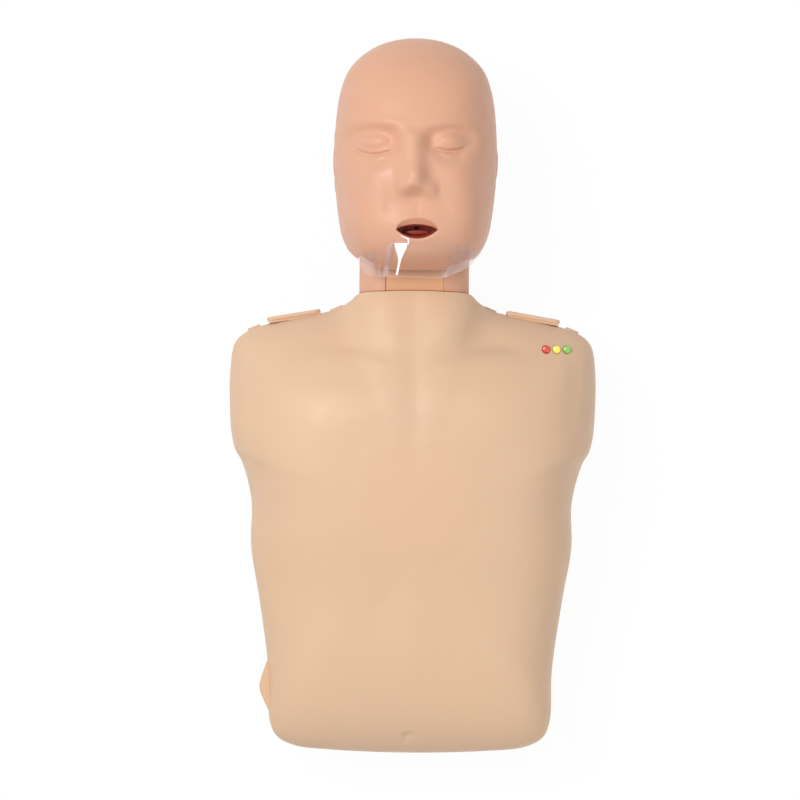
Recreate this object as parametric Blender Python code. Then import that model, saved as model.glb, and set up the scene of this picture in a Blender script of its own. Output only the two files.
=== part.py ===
"""CPR training manikin, lying on its back: +Z front of the body, +Y to the crown, metres."""

from math import atan2, cos, pi, radians, sin, sqrt

import bmesh
import bpy
import numpy as np
from mathutils import Matrix, Vector

for leftover in list(bpy.data.objects):
    bpy.data.objects.remove(leftover, do_unlink=True)

# General clearances
GAP = 0.0003
RUNNING_GAP = 0.0007

# Torso outline, seen from the front
TORSO_CENTRE_Y = -0.110
FOOT_Y = -0.330
HIP_HALF = 0.131
WAIST_Y = -0.252
WAIST_HALF = 0.1315
RIB_HALF = 0.1484
RIB_LOW_Y = -0.139
RIB_HIGH_Y = -0.097
ARM_STEP_Y = -0.0505
SHOULDER_HALF = 0.169
SHOULDER_LOW_Y = -0.015
SHOULDER_HIGH_Y = 0.025
SLOPE_OUT_HALF = 0.152
SLOPE_OUT_Y = 0.060
COLLAR_HALF = 0.0545
COLLAR_Y = 0.097

# Torso shells
SPLIT_Z = 0.070
SKIN_WALL = 0.003
SKIN_FULLNESS = 5.0
SHELL_WALL = 0.003
FLOOR = 0.003
LIP_HEIGHT = 0.005
LIP_CLEARANCE = 0.0032
TORSO_CELLS = 20
TORSO_CORNER_PULL = 0.12
NECK_REACH = 0.045

# Neck
NECK_HALF = 0.0504
NECK_DEPTH = 0.076
NECK_CENTRE_Z = 0.090
NECK_CORNER = 0.024
NECK_ROOT_Y = 0.062
PANEL_HALF = 0.0265
PANEL_THICK = 0.003
PANEL_PROUD = 0.0006
NECK_CLEARANCE = 0.0008

# Head
HEAD_CENTRE_Y = 0.222
HEAD_HALF = 0.0758
CROWN_Y = 0.330
CHIN_Y = 0.1135
HEAD_SPLIT_Z = 0.104
FACE_Z = 0.200
SKULL_Z = 0.030
HEAD_WALL = 0.0032
PIVOT_Y = 0.148
PIVOT_Z = 0.095
ROD_RADIUS = 0.004
SADDLE_X = 0.0555
SADDLE_THICK = 0.005
PASSAGE_HALF = 0.052
PASSAGE_END_Y = 0.158
JAW_LIP_Z = 0.142
JAW_ANGLE_Y = 0.134
MOUTH_Y = 0.1525
MOUTH_HALF_X = 0.019
MOUTH_HALF_Y = 0.0076
EYE_X = 0.0365
EYE_Y = 0.237
NOSE_TIP_Y = 0.204
NOSE_BASE_Y = 0.182

# Compression unit
PUSH_Y = -0.069
STROKE = 0.050
PISTON_RADIUS = 0.0315
PISTON_WALL = 0.003
PISTON_BOTTOM_Z = 0.064
GUIDE_WALL = 0.004
GUIDE_TOP_Z = 0.098
FLANGE_RADIUS = 0.052
FLANGE_THICK = 0.003
PAD_TOP_Z = 0.008
BUMPER_THICK = 0.003
SPRING_WIRE = 0.004
SPRING_OUTER = 0.026
SPRING_TURNS = 7
PLATE_THICK = 0.003
PAD_HALF = (0.060, 0.075)
BAG_THICK = 0.003
BAG_TO_SKIN = 0.0026

# Rate monitor in the shoulder
LED_XS = (0.1215, 0.1312, 0.1409)
LED_Y = 0.0444
LED_RADIUS = 0.0038
LED_PROUD = 0.0008
CASE_CENTRE = (0.131, 0.0365)
CASE_HALF = (0.019, 0.015)
CASE_BASE_Z = 0.040
CASE_TOP_Z = 0.080
CASE_WALL = 0.002
BOARD_THICK = 0.0016
BUTTON_RADIUS = 0.005
BUTTON_Z = 0.045
BUTTON_PROUD = 0.0015
BUTTON_TRAVEL = 0.0015

# Battery bay in the back
BAY_CENTRE = (0.104, -0.024)
CELL_RADIUS = 0.0072
CELL_LENGTH = 0.0502
BAY_WALL = 0.002
COVER_THICK = 0.0022
COVER_RECESS = 0.0004

# Shoulder clips and lugs
CLIP_X = 0.1104
CLIP_WIDTH = 0.050
CLIP_THICK = 0.0050
CLIP_LOW_Z = 0.059
CLIP_HIGH_Z = 0.083
CLIP_TILT = radians(14.5)
LUG_XS = (0.071, 0.1474)
LUG_WIDTH = 0.0125
LUG_PROUD = 0.0035

# Screws: shank radius, head radius, head height
SCREW_SHANK = 0.0016
SCREW_HEAD = 0.0036
SCREW_HEAD_HEIGHT = 0.0022
SCREW_HOLE_CLEARANCE = 0.0003


def material(name, colour, roughness, metallic=0.0):
    made = bpy.data.materials.new(name)
    made.use_nodes = True
    shader = made.node_tree.nodes["Principled BSDF"]
    shader.inputs["Base Color"].default_value = (*colour, 1.0)
    shader.inputs["Roughness"].default_value = roughness
    shader.inputs["Metallic"].default_value = metallic
    return made


BODY_TAN = material("body_tan", (0.82, 0.58, 0.38), 0.5)
HEAD_TAN = material("head_tan", (0.80, 0.47, 0.30), 0.5)
THROAT_TAN = material("throat_tan", (0.78, 0.42, 0.24), 0.55)
MOUTH_RED = material("mouth_red", (0.24, 0.03, 0.02), 0.5)
FILM = material("clear_film", (0.9, 0.85, 0.9), 0.15)
GREY_PLASTIC = material("grey_plastic", (0.35, 0.36, 0.38), 0.5)
WHITE_PLASTIC = material("white_plastic", (0.8, 0.8, 0.78), 0.45)
BLACK_RUBBER = material("black_rubber", (0.03, 0.03, 0.03), 0.8)
STEEL = material("steel", (0.6, 0.6, 0.6), 0.35, 1.0)
BOARD_GREEN = material("board_green", (0.02, 0.2, 0.08), 0.5)
BAG_WHITE = material("bag_white", (0.8, 0.82, 0.85), 0.3)
CELL_BLUE = material("cell_wrap", (0.1, 0.14, 0.2), 0.35)
LAMP_RED = material("lamp_red", (0.75, 0.1, 0.06), 0.2)
LAMP_YELLOW = material("lamp_yellow", (0.85, 0.75, 0.12), 0.2)
LAMP_GREEN = material("lamp_green", (0.25, 0.5, 0.12), 0.2)


def new_object(name, vertices, faces, look=None):
    """A closed body from its points and faces, with every face pointing out."""
    mesh = bpy.data.meshes.new(name)
    shape = bmesh.new()
    points = [shape.verts.new(vertex) for vertex in vertices]
    for face in faces:
        shape.faces.new([points[index] for index in face])
    bmesh.ops.recalc_face_normals(shape, faces=shape.faces)
    shape.to_mesh(mesh)
    shape.free()
    made = bpy.data.objects.new(name, mesh)
    bpy.context.collection.objects.link(made)
    if look:
        mesh.materials.append(look)
    return made


def smooth(made, angle=radians(35)):
    made.data.shade_smooth()
    made.data.set_sharp_from_angle(angle=angle)
    return made


def boolean(target, tool, operation):
    """Cuts or joins target with tool, which stays in the file as a guide."""
    tool.hide_render = True
    tool.display_type = "WIRE"
    step = target.modifiers.new(tool.name, "BOOLEAN")
    step.operation = operation
    step.solver = "EXACT"
    step.object = tool
    return target


def cut(target, *tools):
    for tool in tools:
        boolean(target, tool, "DIFFERENCE")
    return target


def join(target, *tools):
    for tool in tools:
        boolean(target, tool, "UNION")
    return target


def lofted(name, loops, look=None):
    """A solid through loops of as many points each, closed flat at both ends."""
    count = len(loops[0])
    vertices = [point for loop in loops for point in loop]
    faces = [list(range(count))]
    for row in range(len(loops) - 1):
        for column in range(count):
            following = (column + 1) % count
            faces.append(
                (
                    row * count + column,
                    row * count + following,
                    (row + 1) * count + following,
                    (row + 1) * count + column,
                )
            )
    faces.append(list(range((len(loops) - 1) * count, len(loops) * count)))
    return new_object(name, vertices, faces, look)


def turned(name, profile, look=None, segments=32, ring=False):
    """Turns (radius, height) pairs about Z; a ring's profile closes on itself."""
    loops = [
        [
            (radius * cos(2 * pi * step / segments), radius * sin(2 * pi * step / segments), height)
            for step in range(segments)
        ]
        for radius, height in profile
    ]
    if not ring:
        return smooth(lofted(name, loops, look))
    rows = len(loops)
    vertices = [point for loop in loops for point in loop]
    faces = [
        (
            row * segments + step,
            row * segments + (step + 1) % segments,
            (row + 1) % rows * segments + (step + 1) % segments,
            (row + 1) % rows * segments + step,
        )
        for row in range(rows)
        for step in range(segments)
    ]
    return smooth(new_object(name, vertices, faces, look))


def extruded(name, points, low, high, look=None):
    """A flat outline in X and Y, raised from low to high."""
    return lofted(name, [[(x, y, z) for x, y in points] for z in (low, high)], look)


def block(name, low, high, look=None):
    corners = [(low[0], low[1]), (high[0], low[1]), (high[0], high[1]), (low[0], high[1])]
    return extruded(name, corners, low[2], high[2], look)


def rounded_rectangle(half_x, half_y, corner, steps=4, centre=(0.0, 0.0)):
    """Corner points of a rectangle with round corners, anticlockwise."""
    points = []
    for quarter, (sign_x, sign_y) in enumerate(((1, 1), (-1, 1), (-1, -1), (1, -1))):
        for step in range(steps + 1):
            angle = pi / 2 * (quarter + step / steps)
            points.append(
                (
                    centre[0] + sign_x * (half_x - corner) + corner * cos(angle),
                    centre[1] + sign_y * (half_y - corner) + corner * sin(angle),
                )
            )
    return points


def cylinder(name, radius, start, end, look=None, segments=20):
    """A round bar between two points."""
    start, end = Vector(start), Vector(end)
    made = turned(name, [(radius, 0.0), (radius, (end - start).length)], look, segments)
    made.rotation_euler = (end - start).to_track_quat("Z", "Y").to_euler()
    made.location = start
    return made


def through_points(points, steps=10):
    """A smooth closed curve through the points, evenly tight however they are spaced."""
    curve = []
    count = len(points)
    for index in range(count):
        p0, p1, p2, p3 = (np.array(points[(index + shift) % count]) for shift in (-1, 0, 1, 2))
        t0 = 0.0
        t1 = t0 + sqrt(np.linalg.norm(p1 - p0))
        t2 = t1 + sqrt(np.linalg.norm(p2 - p1))
        t3 = t2 + sqrt(np.linalg.norm(p3 - p2))
        for t in np.linspace(t1, t2, steps, endpoint=False):
            a1 = (t1 - t) / (t1 - t0) * p0 + (t - t0) / (t1 - t0) * p1
            a2 = (t2 - t) / (t2 - t1) * p1 + (t - t1) / (t2 - t1) * p2
            a3 = (t3 - t) / (t3 - t2) * p2 + (t - t2) / (t3 - t2) * p3
            b1 = (t2 - t) / (t2 - t0) * a1 + (t - t0) / (t2 - t0) * a2
            b2 = (t3 - t) / (t3 - t1) * a2 + (t - t1) / (t3 - t1) * a3
            curve.append((t2 - t) / (t2 - t1) * b1 + (t - t1) / (t2 - t1) * b2)
    return np.array(curve)


class Outline:
    """A closed outline as its radius in each direction from a centre on the Y axis."""

    def __init__(self, right_side, centre_y):
        left_side = [(-x, y) for x, y in reversed(right_side) if x > 0]
        curve = through_points(right_side + left_side)
        angles = np.arctan2(curve[:, 1] - centre_y, curve[:, 0])
        order = np.argsort(angles)
        self.centre_y = centre_y
        self.angles = angles[order]
        self.radii = np.hypot(curve[:, 0], curve[:, 1] - centre_y)[order]

    def radius(self, angle):
        return np.interp(angle, self.angles, self.radii, period=2 * pi)

    def inset(self, angle, depth):
        """The radius of the same outline moved in by depth, square to itself."""
        step = 0.02
        radius = self.radius(angle)
        slope = (self.radius(angle + step) - self.radius(angle - step)) / (2 * step)
        return radius - depth * np.minimum(np.sqrt(1 + (slope / radius) ** 2), 1.8)

    def loop(self, angles, depth, height):
        radii = self.inset(angles, depth)
        return [
            (radius * cos(angle), self.centre_y + radius * sin(angle), height)
            for angle, radius in zip(angles, radii)
        ]


def through_levels(y, levels):
    """A smooth height read between (level, height) pairs along Y."""
    ys = np.array([level for level, _ in levels])
    zs = np.array([height for _, height in levels])
    slopes = np.gradient(zs, ys)
    index = np.clip(np.searchsorted(ys, y) - 1, 0, len(ys) - 2)
    width = ys[index + 1] - ys[index]
    t = np.clip((y - ys[index]) / width, 0.0, 1.0)
    return (
        (2 * t**3 - 3 * t**2 + 1) * zs[index]
        + (t**3 - 2 * t**2 + t) * width * slopes[index]
        + (3 * t**2 - 2 * t**3) * zs[index + 1]
        + (t**3 - t**2) * width * slopes[index + 1]
    )


def bump(x, y, centre_x, centre_y, reach_x, reach_y):
    """A soft round swelling, 1 at its centre."""
    return np.exp(-(((x - centre_x) / reach_x) ** 2) - ((y - centre_y) / reach_y) ** 2)


def disc_grid(cells, corner_pull=0.0):
    """A square grid bent to a disc, closer near the edge: share of the radius, and angle.

    A corner pull turns more of its directions towards the four diagonals.
    """
    a, b = np.meshgrid(np.linspace(-1, 1, cells + 1), np.linspace(-1, 1, cells + 1))
    u = a * np.sqrt(1 - b**2 / 2)
    v = b * np.sqrt(1 - a**2 / 2)
    share = np.clip(np.hypot(u, v), 0.0, 1.0)
    angle = np.arctan2(v, u)
    return 1 - (1 - share) ** 1.5, angle + corner_pull * np.sin(4 * angle)


def grid_faces(cells):
    """Triangles of a square grid, each cell split along the diagonal that points inwards."""
    row = cells + 1
    faces = []
    for j in range(cells):
        for i in range(cells):
            a, b, c, d = j * row + i, j * row + i + 1, (j + 1) * row + i + 1, (j + 1) * row + i
            if (2 * i < cells) == (2 * j < cells):
                faces += [(a, b, c), (a, c, d)]
            else:
                faces += [(a, b, d), (b, c, d)]
    return faces


def grid_edge(cells):
    """Indices round the edge of a square grid of points, in order."""
    row = cells + 1
    bottom = [step for step in range(cells)]
    right = [step * row + cells for step in range(cells)]
    top = [cells * row + cells - step for step in range(cells)]
    left = [(cells - step) * row for step in range(cells)]
    return bottom + right + top + left


def domed(name, x, y, z, base_z, look=None):
    """A solid from a grid of surface points down, or up, to a flat base."""
    cells = x.shape[0] - 1
    vertices = list(zip(x.ravel(), y.ravel(), z.ravel()))
    faces = grid_faces(cells)
    edge = grid_edge(cells)
    base = len(vertices)
    vertices += [(vertices[index][0], vertices[index][1], base_z) for index in edge]
    count = len(edge)
    for step in range(count):
        following = (step + 1) % count
        faces.append((edge[step], edge[following], base + following, base + step))
    faces.append([base + step for step in range(count)])
    return new_object(name, vertices, faces, look)


def between(name, x, y, low, high, look=None):
    """A solid between two heights over one grid of places."""
    cells = x.shape[0] - 1
    top = list(zip(x.ravel(), y.ravel(), high.ravel()))
    bottom = list(zip(x.ravel(), y.ravel(), low.ravel()))
    shift = len(top)
    faces = grid_faces(cells)
    faces += [tuple(shift + index for index in face) for face in faces]
    edge = grid_edge(cells)
    for step in range(len(edge)):
        a, b = edge[step], edge[(step + 1) % len(edge)]
        faces.append((a, b, shift + b, shift + a))
    return new_object(name, top + bottom, faces, look)


# Torso form

TORSO_SIDE = [
    (0.0, FOOT_Y),
    (HIP_HALF - 0.060, FOOT_Y + 0.0022),
    (HIP_HALF - 0.024, FOOT_Y + 0.0062),
    (HIP_HALF - 0.0075, FOOT_Y + 0.0150),
    (HIP_HALF - 0.0012, FOOT_Y + 0.0300),
    (WAIST_HALF, WAIST_Y),
    (WAIST_HALF + 0.0085, WAIST_Y + 0.062),
    (RIB_HALF, RIB_LOW_Y),
    (RIB_HALF, RIB_HIGH_Y),
    (RIB_HALF + 0.0094, ARM_STEP_Y - 0.0105),
    (SHOULDER_HALF - 0.0052, ARM_STEP_Y),
    (SHOULDER_HALF - 0.0015, ARM_STEP_Y + 0.0150),
    (SHOULDER_HALF, SHOULDER_LOW_Y),
    (SHOULDER_HALF, SHOULDER_HIGH_Y),
    (SHOULDER_HALF - 0.0045, SHOULDER_HIGH_Y + 0.024),
    (SLOPE_OUT_HALF, SLOPE_OUT_Y),
    (0.113, 0.0710),
    (COLLAR_HALF + 0.018, COLLAR_Y - 0.0155),
    (COLLAR_HALF + 0.004, COLLAR_Y - 0.0070),
    (COLLAR_HALF - 0.004, COLLAR_Y - 0.0005),
    (0.025, COLLAR_Y),
    (0.0, COLLAR_Y),
]
TORSO = Outline(TORSO_SIDE, TORSO_CENTRE_Y)

NECK_TOP_Z = NECK_CENTRE_Z + NECK_DEPTH / 2
COLLAR_Z = NECK_TOP_Z + PANEL_PROUD + NECK_CLEARANCE + SKIN_WALL

TORSO_LEVELS = [
    (FOOT_Y, 0.128),
    (WAIST_Y, 0.138),
    (-0.190, 0.145),
    (-0.130, 0.159),
    (PUSH_Y, 0.168),
    (0.000, 0.168),
    (0.050, 0.154),
    (0.080, COLLAR_Z + 0.006),
    (COLLAR_Y, COLLAR_Z),
]


def torso_height(x, y):
    """Height of the front of the body over its back, away from the edges."""
    side_drop = 0.014 + 0.018 / (1 + np.exp(-(y + 0.02) / 0.03))
    height = through_levels(y, TORSO_LEVELS) - side_drop * (x / SHOULDER_HALF) ** 2
    side = np.abs(x)
    height += 0.0045 * bump(side, y, 0.070, 0.000, 0.045, 0.040)
    height -= 0.0050 * bump(side, y, 0.066, 0.066, 0.020, 0.016)
    height -= 0.0015 * bump(x, y, 0.0, 0.000, 0.010, 0.060)
    arch = -0.150 - 1.05 * side
    height -= 0.0040 / (1 + np.exp((y - arch) / 0.006)) * bump(x, 0.0, 0.0, 0.0, 0.110, 1.0)
    height += 0.0030 * bump(x, y, 0.0, -0.215, 0.026, 0.060)
    return height


def torso_front(x, y, depth):
    """Height of the torso's front, edges and all, moved in by depth from the skin's outside."""
    angle = np.arctan2(y - TORSO.centre_y, x)
    radius = TORSO.inset(angle, depth)
    neckward = NECK_REACH * np.exp(-(((angle - pi / 2) / 0.26) ** 4))
    fall = np.hypot(x, y - TORSO.centre_y) / (radius + neckward)
    rim = SPLIT_Z + 0.002
    dome = np.sqrt(np.clip(1 - fall**SKIN_FULLNESS, 0.0, 1.0))
    return rim + (torso_height(x, y) - depth - rim) * dome


def torso_surface(cells, depth):
    """Grid of the torso's front, closer spaced near its edge."""
    share, angle = disc_grid(cells, TORSO_CORNER_PULL)
    radius = TORSO.inset(angle, depth)
    x = share * radius * np.cos(angle)
    y = TORSO.centre_y + share * radius * np.sin(angle)
    return x, y, torso_front(x, y, depth)


def neck_passage(name, clearance, low_z, high_z):
    """A cutter round the neck, wider than it by clearance."""
    half = NECK_HALF + clearance
    return block(name, (-half, NECK_ROOT_Y - 0.004, low_z), (half, COLLAR_Y + 0.05, high_z))


def make_chest_skin():
    skin = domed("chest_skin", *torso_surface(TORSO_CELLS, 0.0), SPLIT_Z + GAP, BODY_TAN)
    hollow = domed("skin_hollow", *torso_surface(TORSO_CELLS, SKIN_WALL), SPLIT_Z - 0.004)
    cut(skin, hollow)
    cut(skin, neck_passage("collar_cut", NECK_CLEARANCE, SPLIT_Z - 0.01, COLLAR_Z - SKIN_WALL))
    for index, lamp_x in enumerate(LED_XS):
        hole = cylinder(
            f"lamp_hole_{index + 1}", LED_RADIUS + GAP, (lamp_x, LED_Y, CASE_TOP_Z), (lamp_x, LED_Y, 0.16)
        )
        cut(skin, hole)
    tab_points = [
        (-WAIST_HALF + 0.0015, WAIST_Y + 0.014),
        (-WAIST_HALF - 0.0075, WAIST_Y - 0.012),
        (-WAIST_HALF - 0.0080, WAIST_Y - 0.017),
        (-WAIST_HALF + 0.0010, WAIST_Y - 0.040),
    ]
    join(skin, extruded("waist_tab", tab_points, SPLIT_Z + 0.001, SPLIT_Z + 0.012))
    return smooth(skin)


def tray_loops(profile):
    """The torso outline at several heights, with points under the skin's own."""
    _, angles = disc_grid(TORSO_CELLS, TORSO_CORNER_PULL)
    edge = angles.ravel()[grid_edge(TORSO_CELLS)]
    return [TORSO.loop(edge, depth, height) for height, depth in profile]


def slope_point(x, depth=0.0):
    """The point of the shoulder slope at x, moved in by depth, as its Y."""
    curve = np.array(TORSO.loop(np.linspace(0, 2 * pi, 720), depth, 0.0))
    upper = curve[curve[:, 1] > SHOULDER_LOW_Y]
    order = np.argsort(upper[:, 0])
    return float(np.interp(x, upper[order, 0], upper[order, 1]))


def screw(name, x, y, seat_z, tip_z, head_down):
    """A cross-head screw along Z, seated on seat_z and ending at tip_z."""
    turn = -1 if head_down else 1
    profile = [
        (SCREW_HEAD * 0.7, seat_z + turn * SCREW_HEAD_HEIGHT),
        (SCREW_HEAD, seat_z + turn * SCREW_HEAD_HEIGHT * 0.5),
        (SCREW_HEAD, seat_z + turn * GAP),
        (SCREW_SHANK, seat_z + turn * GAP),
        (SCREW_SHANK, tip_z),
    ]
    made = turned(name, profile, STEEL, 8)
    made.location = (x, y, 0.0)
    return made


def screw_hole(name, x, y, low_z, seat_z, high_z, head_down):
    """A stepped hole: room for the head on one side of seat_z, for the shank on the other."""
    wide = SCREW_HEAD + SCREW_HOLE_CLEARANCE
    slim = SCREW_SHANK + SCREW_HOLE_CLEARANCE
    radii = (wide, slim) if head_down else (slim, wide)
    profile = [(radii[0], low_z), (radii[0], seat_z), (radii[1], seat_z), (radii[1], high_z)]
    made = turned(name, profile, None, 8)
    made.location = (x, y, 0.0)
    return made


NECK_SCREW_XS = (-0.028, 0.028)
NECK_SCREW_Y = 0.078
NECK_BASE_Z = NECK_CENTRE_Z - NECK_DEPTH / 2
GUIDE_SCREW_ANGLES = (pi / 4, 3 * pi / 4, 5 * pi / 4, 7 * pi / 4)
GUIDE_SCREW_RADIUS = 0.0445
RIM_INSET = SHELL_WALL + LIP_CLEARANCE

BAY_HALF = (2 * CELL_RADIUS + 0.0012, CELL_LENGTH / 2 + 0.0015)
BAY_TOP_Z = COVER_RECESS + COVER_THICK + 2 * CELL_RADIUS + 0.0016
LEDGE = 0.003
COVER_TONGUE = 0.011
COVER_SCREW_Y = BAY_CENTRE[1] - BAY_HALF[1] - 0.0065


def bay_box(name, grow, tongue, low_z, high_z, look=None):
    """A box round the two cells, wider by grow, longer at the foot end by tongue."""
    low = (BAY_CENTRE[0] - BAY_HALF[0] - grow, BAY_CENTRE[1] - BAY_HALF[1] - grow - tongue, low_z)
    high = (BAY_CENTRE[0] + BAY_HALF[0] + grow, BAY_CENTRE[1] + BAY_HALF[1] + grow, high_z)
    return block(name, low, high, look)


def make_back_shell():
    outside = [
        (0.000, 0.020),
        (0.004, 0.0125),
        (0.012, 0.0075),
        (0.026, 0.0035),
        (0.046, 0.0010),
        (SPLIT_Z, 0.0),
        (SPLIT_Z, RIM_INSET),
        (SPLIT_Z + LIP_HEIGHT, RIM_INSET),
    ]
    inside = [
        (FLOOR, 0.022),
        (FLOOR + 0.004, 0.0155),
        (FLOOR + 0.011, 0.0105),
        (0.028, 0.0065),
        (0.047, 0.0052),
        (SPLIT_Z + LIP_HEIGHT + 0.003, RIM_INSET + 0.0018),
    ]
    shell = lofted("back_shell", tray_loops(outside), BODY_TAN)
    hollow = lofted("tray_hollow", tray_loops(inside))
    pad = turned("guide_pad", [(FLANGE_RADIUS + 0.002, -0.001), (FLANGE_RADIUS + 0.002, PAD_TOP_Z)])
    pad.location = (0.0, PUSH_Y, 0.0)
    cut(hollow, pad)
    for index, screw_x in enumerate(NECK_SCREW_XS):
        post = cylinder(
            f"neck_post_{index + 1}", 0.008, (screw_x, NECK_SCREW_Y, -0.001), (screw_x, NECK_SCREW_Y, NECK_BASE_Z - GAP)
        )
        cut(hollow, post)
    for index, (sign_x, sign_y) in enumerate(((1, 1), (-1, 1), (-1, -1), (1, -1))):
        x = CASE_CENTRE[0] + sign_x * (CASE_HALF[0] - 0.004)
        y = CASE_CENTRE[1] + sign_y * (CASE_HALF[1] - 0.002)
        cut(hollow, cylinder(f"case_post_{index + 1}", 0.003, (x, y, -0.001), (x, y, CASE_BASE_Z - GAP), None, 10))
    cut(hollow, bay_box("bay_walls", LEDGE + BAY_WALL, COVER_TONGUE, -0.001, BAY_TOP_Z + BAY_WALL))
    for index, rib_y in enumerate((-0.265, -0.200, 0.020)):
        cut(hollow, block(f"floor_rib_{index + 1}", (-0.175, rib_y - 0.0012, -0.001), (0.085, rib_y + 0.0012, 0.016)))
    for index, rib_x in enumerate((-0.082, 0.0)):
        cut(hollow, block(f"long_rib_{index + 1}", (rib_x - 0.0012, -0.30, -0.001), (rib_x + 0.0012, -0.14, 0.016)))
    cut(shell, hollow)
    cut(shell, neck_passage("neck_notch", 2 * GAP, NECK_BASE_Z - GAP, SPLIT_Z + 0.03))
    cut(shell, bay_box("bay_pocket", 0.0, 0.0, -0.001, BAY_TOP_Z))
    cut(shell, bay_box("cover_recess", LEDGE, COVER_TONGUE - BAY_WALL, -0.001, COVER_RECESS + COVER_THICK + GAP))
    cut(shell, cylinder("cover_screw_hole", SCREW_SHANK + GAP, (BAY_CENTRE[0], COVER_SCREW_Y, 0.0), (BAY_CENTRE[0], COVER_SCREW_Y, 0.013), None, 12))
    for index, screw_x in enumerate(NECK_SCREW_XS):
        cut(shell, screw_hole(f"neck_screw_hole_{index + 1}", screw_x, NECK_SCREW_Y, -0.001, NECK_SEAT_Z, 0.06, True))
    for index, angle in enumerate(GUIDE_SCREW_ANGLES):
        x = GUIDE_SCREW_RADIUS * cos(angle)
        y = PUSH_Y + GUIDE_SCREW_RADIUS * sin(angle)
        cut(shell, cylinder(f"guide_screw_hole_{index + 1}", SCREW_SHANK + GAP, (x, y, 0.0012), (x, y, 0.02), None, 12))
    button_y = slope_point(CASE_CENTRE[0])
    cut(
        shell,
        cylinder(
            "button_hole",
            BUTTON_RADIUS + GAP,
            (CASE_CENTRE[0], button_y - 0.018, BUTTON_Z),
            (CASE_CENTRE[0], button_y + 0.02, BUTTON_Z),
        ),
    )
    for sign in (-1, 1):
        side = "left" if sign < 0 else "right"
        for index, lug_x in enumerate(LUG_XS):
            lug = block(
                f"lug_{side}_{index + 1}",
                (-LUG_WIDTH / 2, -0.004, SPLIT_Z - 0.013),
                (LUG_WIDTH / 2, LUG_PROUD, SPLIT_Z - 0.0005),
            )
            lug.location = (sign * lug_x, slope_point(lug_x), 0.0)
            lug.rotation_euler = (0.0, 0.0, -sign * slope_angle(lug_x))
            join(shell, lug)
        cut(shell, clip_peg(f"clip_hole_{side}", sign, CLIP_LOW_Z + 0.005, GAP))
    return smooth(shell)


NECK_SEAT_Z = 0.008


def slope_angle(x):
    """How far the shoulder slope falls away outwards at x."""
    return atan2(slope_point(x - 0.006) - slope_point(x + 0.006), 0.012)


def clip_place(sign):
    """Middle of a shoulder clip's inner face, and the turn of the clip about Z."""
    outward = Vector((sign * sin(CLIP_TILT), cos(CLIP_TILT), 0.0))
    middle = Vector((sign * CLIP_X, slope_point(CLIP_X), 0.0)) + outward * 0.0009
    return middle, outward


def clip_peg(name, sign, height, grow):
    middle, outward = clip_place(sign)
    start = middle - outward * (0.0055 + grow) + Vector((0.0, 0.0, height))
    end = middle + outward * 0.002 + Vector((0.0, 0.0, height))
    return cylinder(name, 0.0022 + grow, start, end, None, 12)


def make_shoulder_clip(sign):
    side = "left" if sign < 0 else "right"
    middle, _ = clip_place(sign)
    half_height = (CLIP_HIGH_Z - CLIP_LOW_Z) / 2
    face = rounded_rectangle(CLIP_WIDTH / 2, half_height, 0.006)
    inner = [(x, 0.0, (CLIP_LOW_Z + CLIP_HIGH_Z) / 2 + z) for x, z in face]
    crest = [(x * 0.97, CLIP_THICK - 0.0008, (CLIP_LOW_Z + CLIP_HIGH_Z) / 2 + z * 0.96) for x, z in face]
    top = [(x * 0.93, CLIP_THICK, (CLIP_LOW_Z + CLIP_HIGH_Z) / 2 + z * 0.88) for x, z in face]
    clip = lofted(f"shoulder_clip_{side}", [inner, crest, top], BODY_TAN)
    clip.rotation_euler = (0.0, 0.0, -sign * CLIP_TILT)
    clip.location = middle
    join(clip, clip_peg(f"clip_peg_{side}", sign, CLIP_LOW_Z + 0.005, 0.0))
    return smooth(clip)


# Neck


def neck_section(y, half_depth, corner):
    section = rounded_rectangle(NECK_HALF, half_depth, corner, 5)
    return [(x, y, NECK_CENTRE_Z + z) for x, z in section]


def make_neck():
    half_depth = NECK_DEPTH / 2
    loops = [neck_section(y, half_depth, NECK_CORNER) for y in (NECK_ROOT_Y, PIVOT_Y)]
    for share in (0.3, 0.55, 0.75, 0.9):
        depth = half_depth * sqrt(1 - share**2)
        loops.append(neck_section(PIVOT_Y + share * half_depth, depth, min(NECK_CORNER, depth * 0.9)))
    neck = lofted("neck_block", loops, HEAD_TAN)
    panel_low = NECK_TOP_Z + PANEL_PROUD - PANEL_THICK
    cut(
        neck,
        block(
            "panel_recess",
            (-PANEL_HALF - GAP, NECK_ROOT_Y + 0.018, panel_low - GAP),
            (PANEL_HALF + GAP, PIVOT_Y + GAP, NECK_TOP_Z + 0.01),
        ),
        cylinder("pivot_bore", ROD_RADIUS + GAP, (-0.06, PIVOT_Y, PIVOT_Z), (0.06, PIVOT_Y, PIVOT_Z)),
    )
    for index, screw_x in enumerate(NECK_SCREW_XS):
        cut(
            neck,
            cylinder(
                f"neck_pilot_{index + 1}",
                SCREW_SHANK + GAP,
                (screw_x, NECK_SCREW_Y, NECK_BASE_Z - 0.002),
                (screw_x, NECK_SCREW_Y, NECK_BASE_Z + 0.021),
                None,
                12,
            ),
        )
        screw(f"neck_screw_{index + 1}", screw_x, NECK_SCREW_Y, NECK_SEAT_Z, NECK_BASE_Z + 0.020, True)
    panel_outline = [
        (-PANEL_HALF, NECK_ROOT_Y + 0.018 + GAP),
        (PANEL_HALF, NECK_ROOT_Y + 0.018 + GAP),
        (PANEL_HALF, PIVOT_Y),
        (-PANEL_HALF, PIVOT_Y),
    ]
    extruded("throat_panel", panel_outline, panel_low, NECK_TOP_Z + PANEL_PROUD, THROAT_TAN)
    return smooth(neck)


# Head

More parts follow.
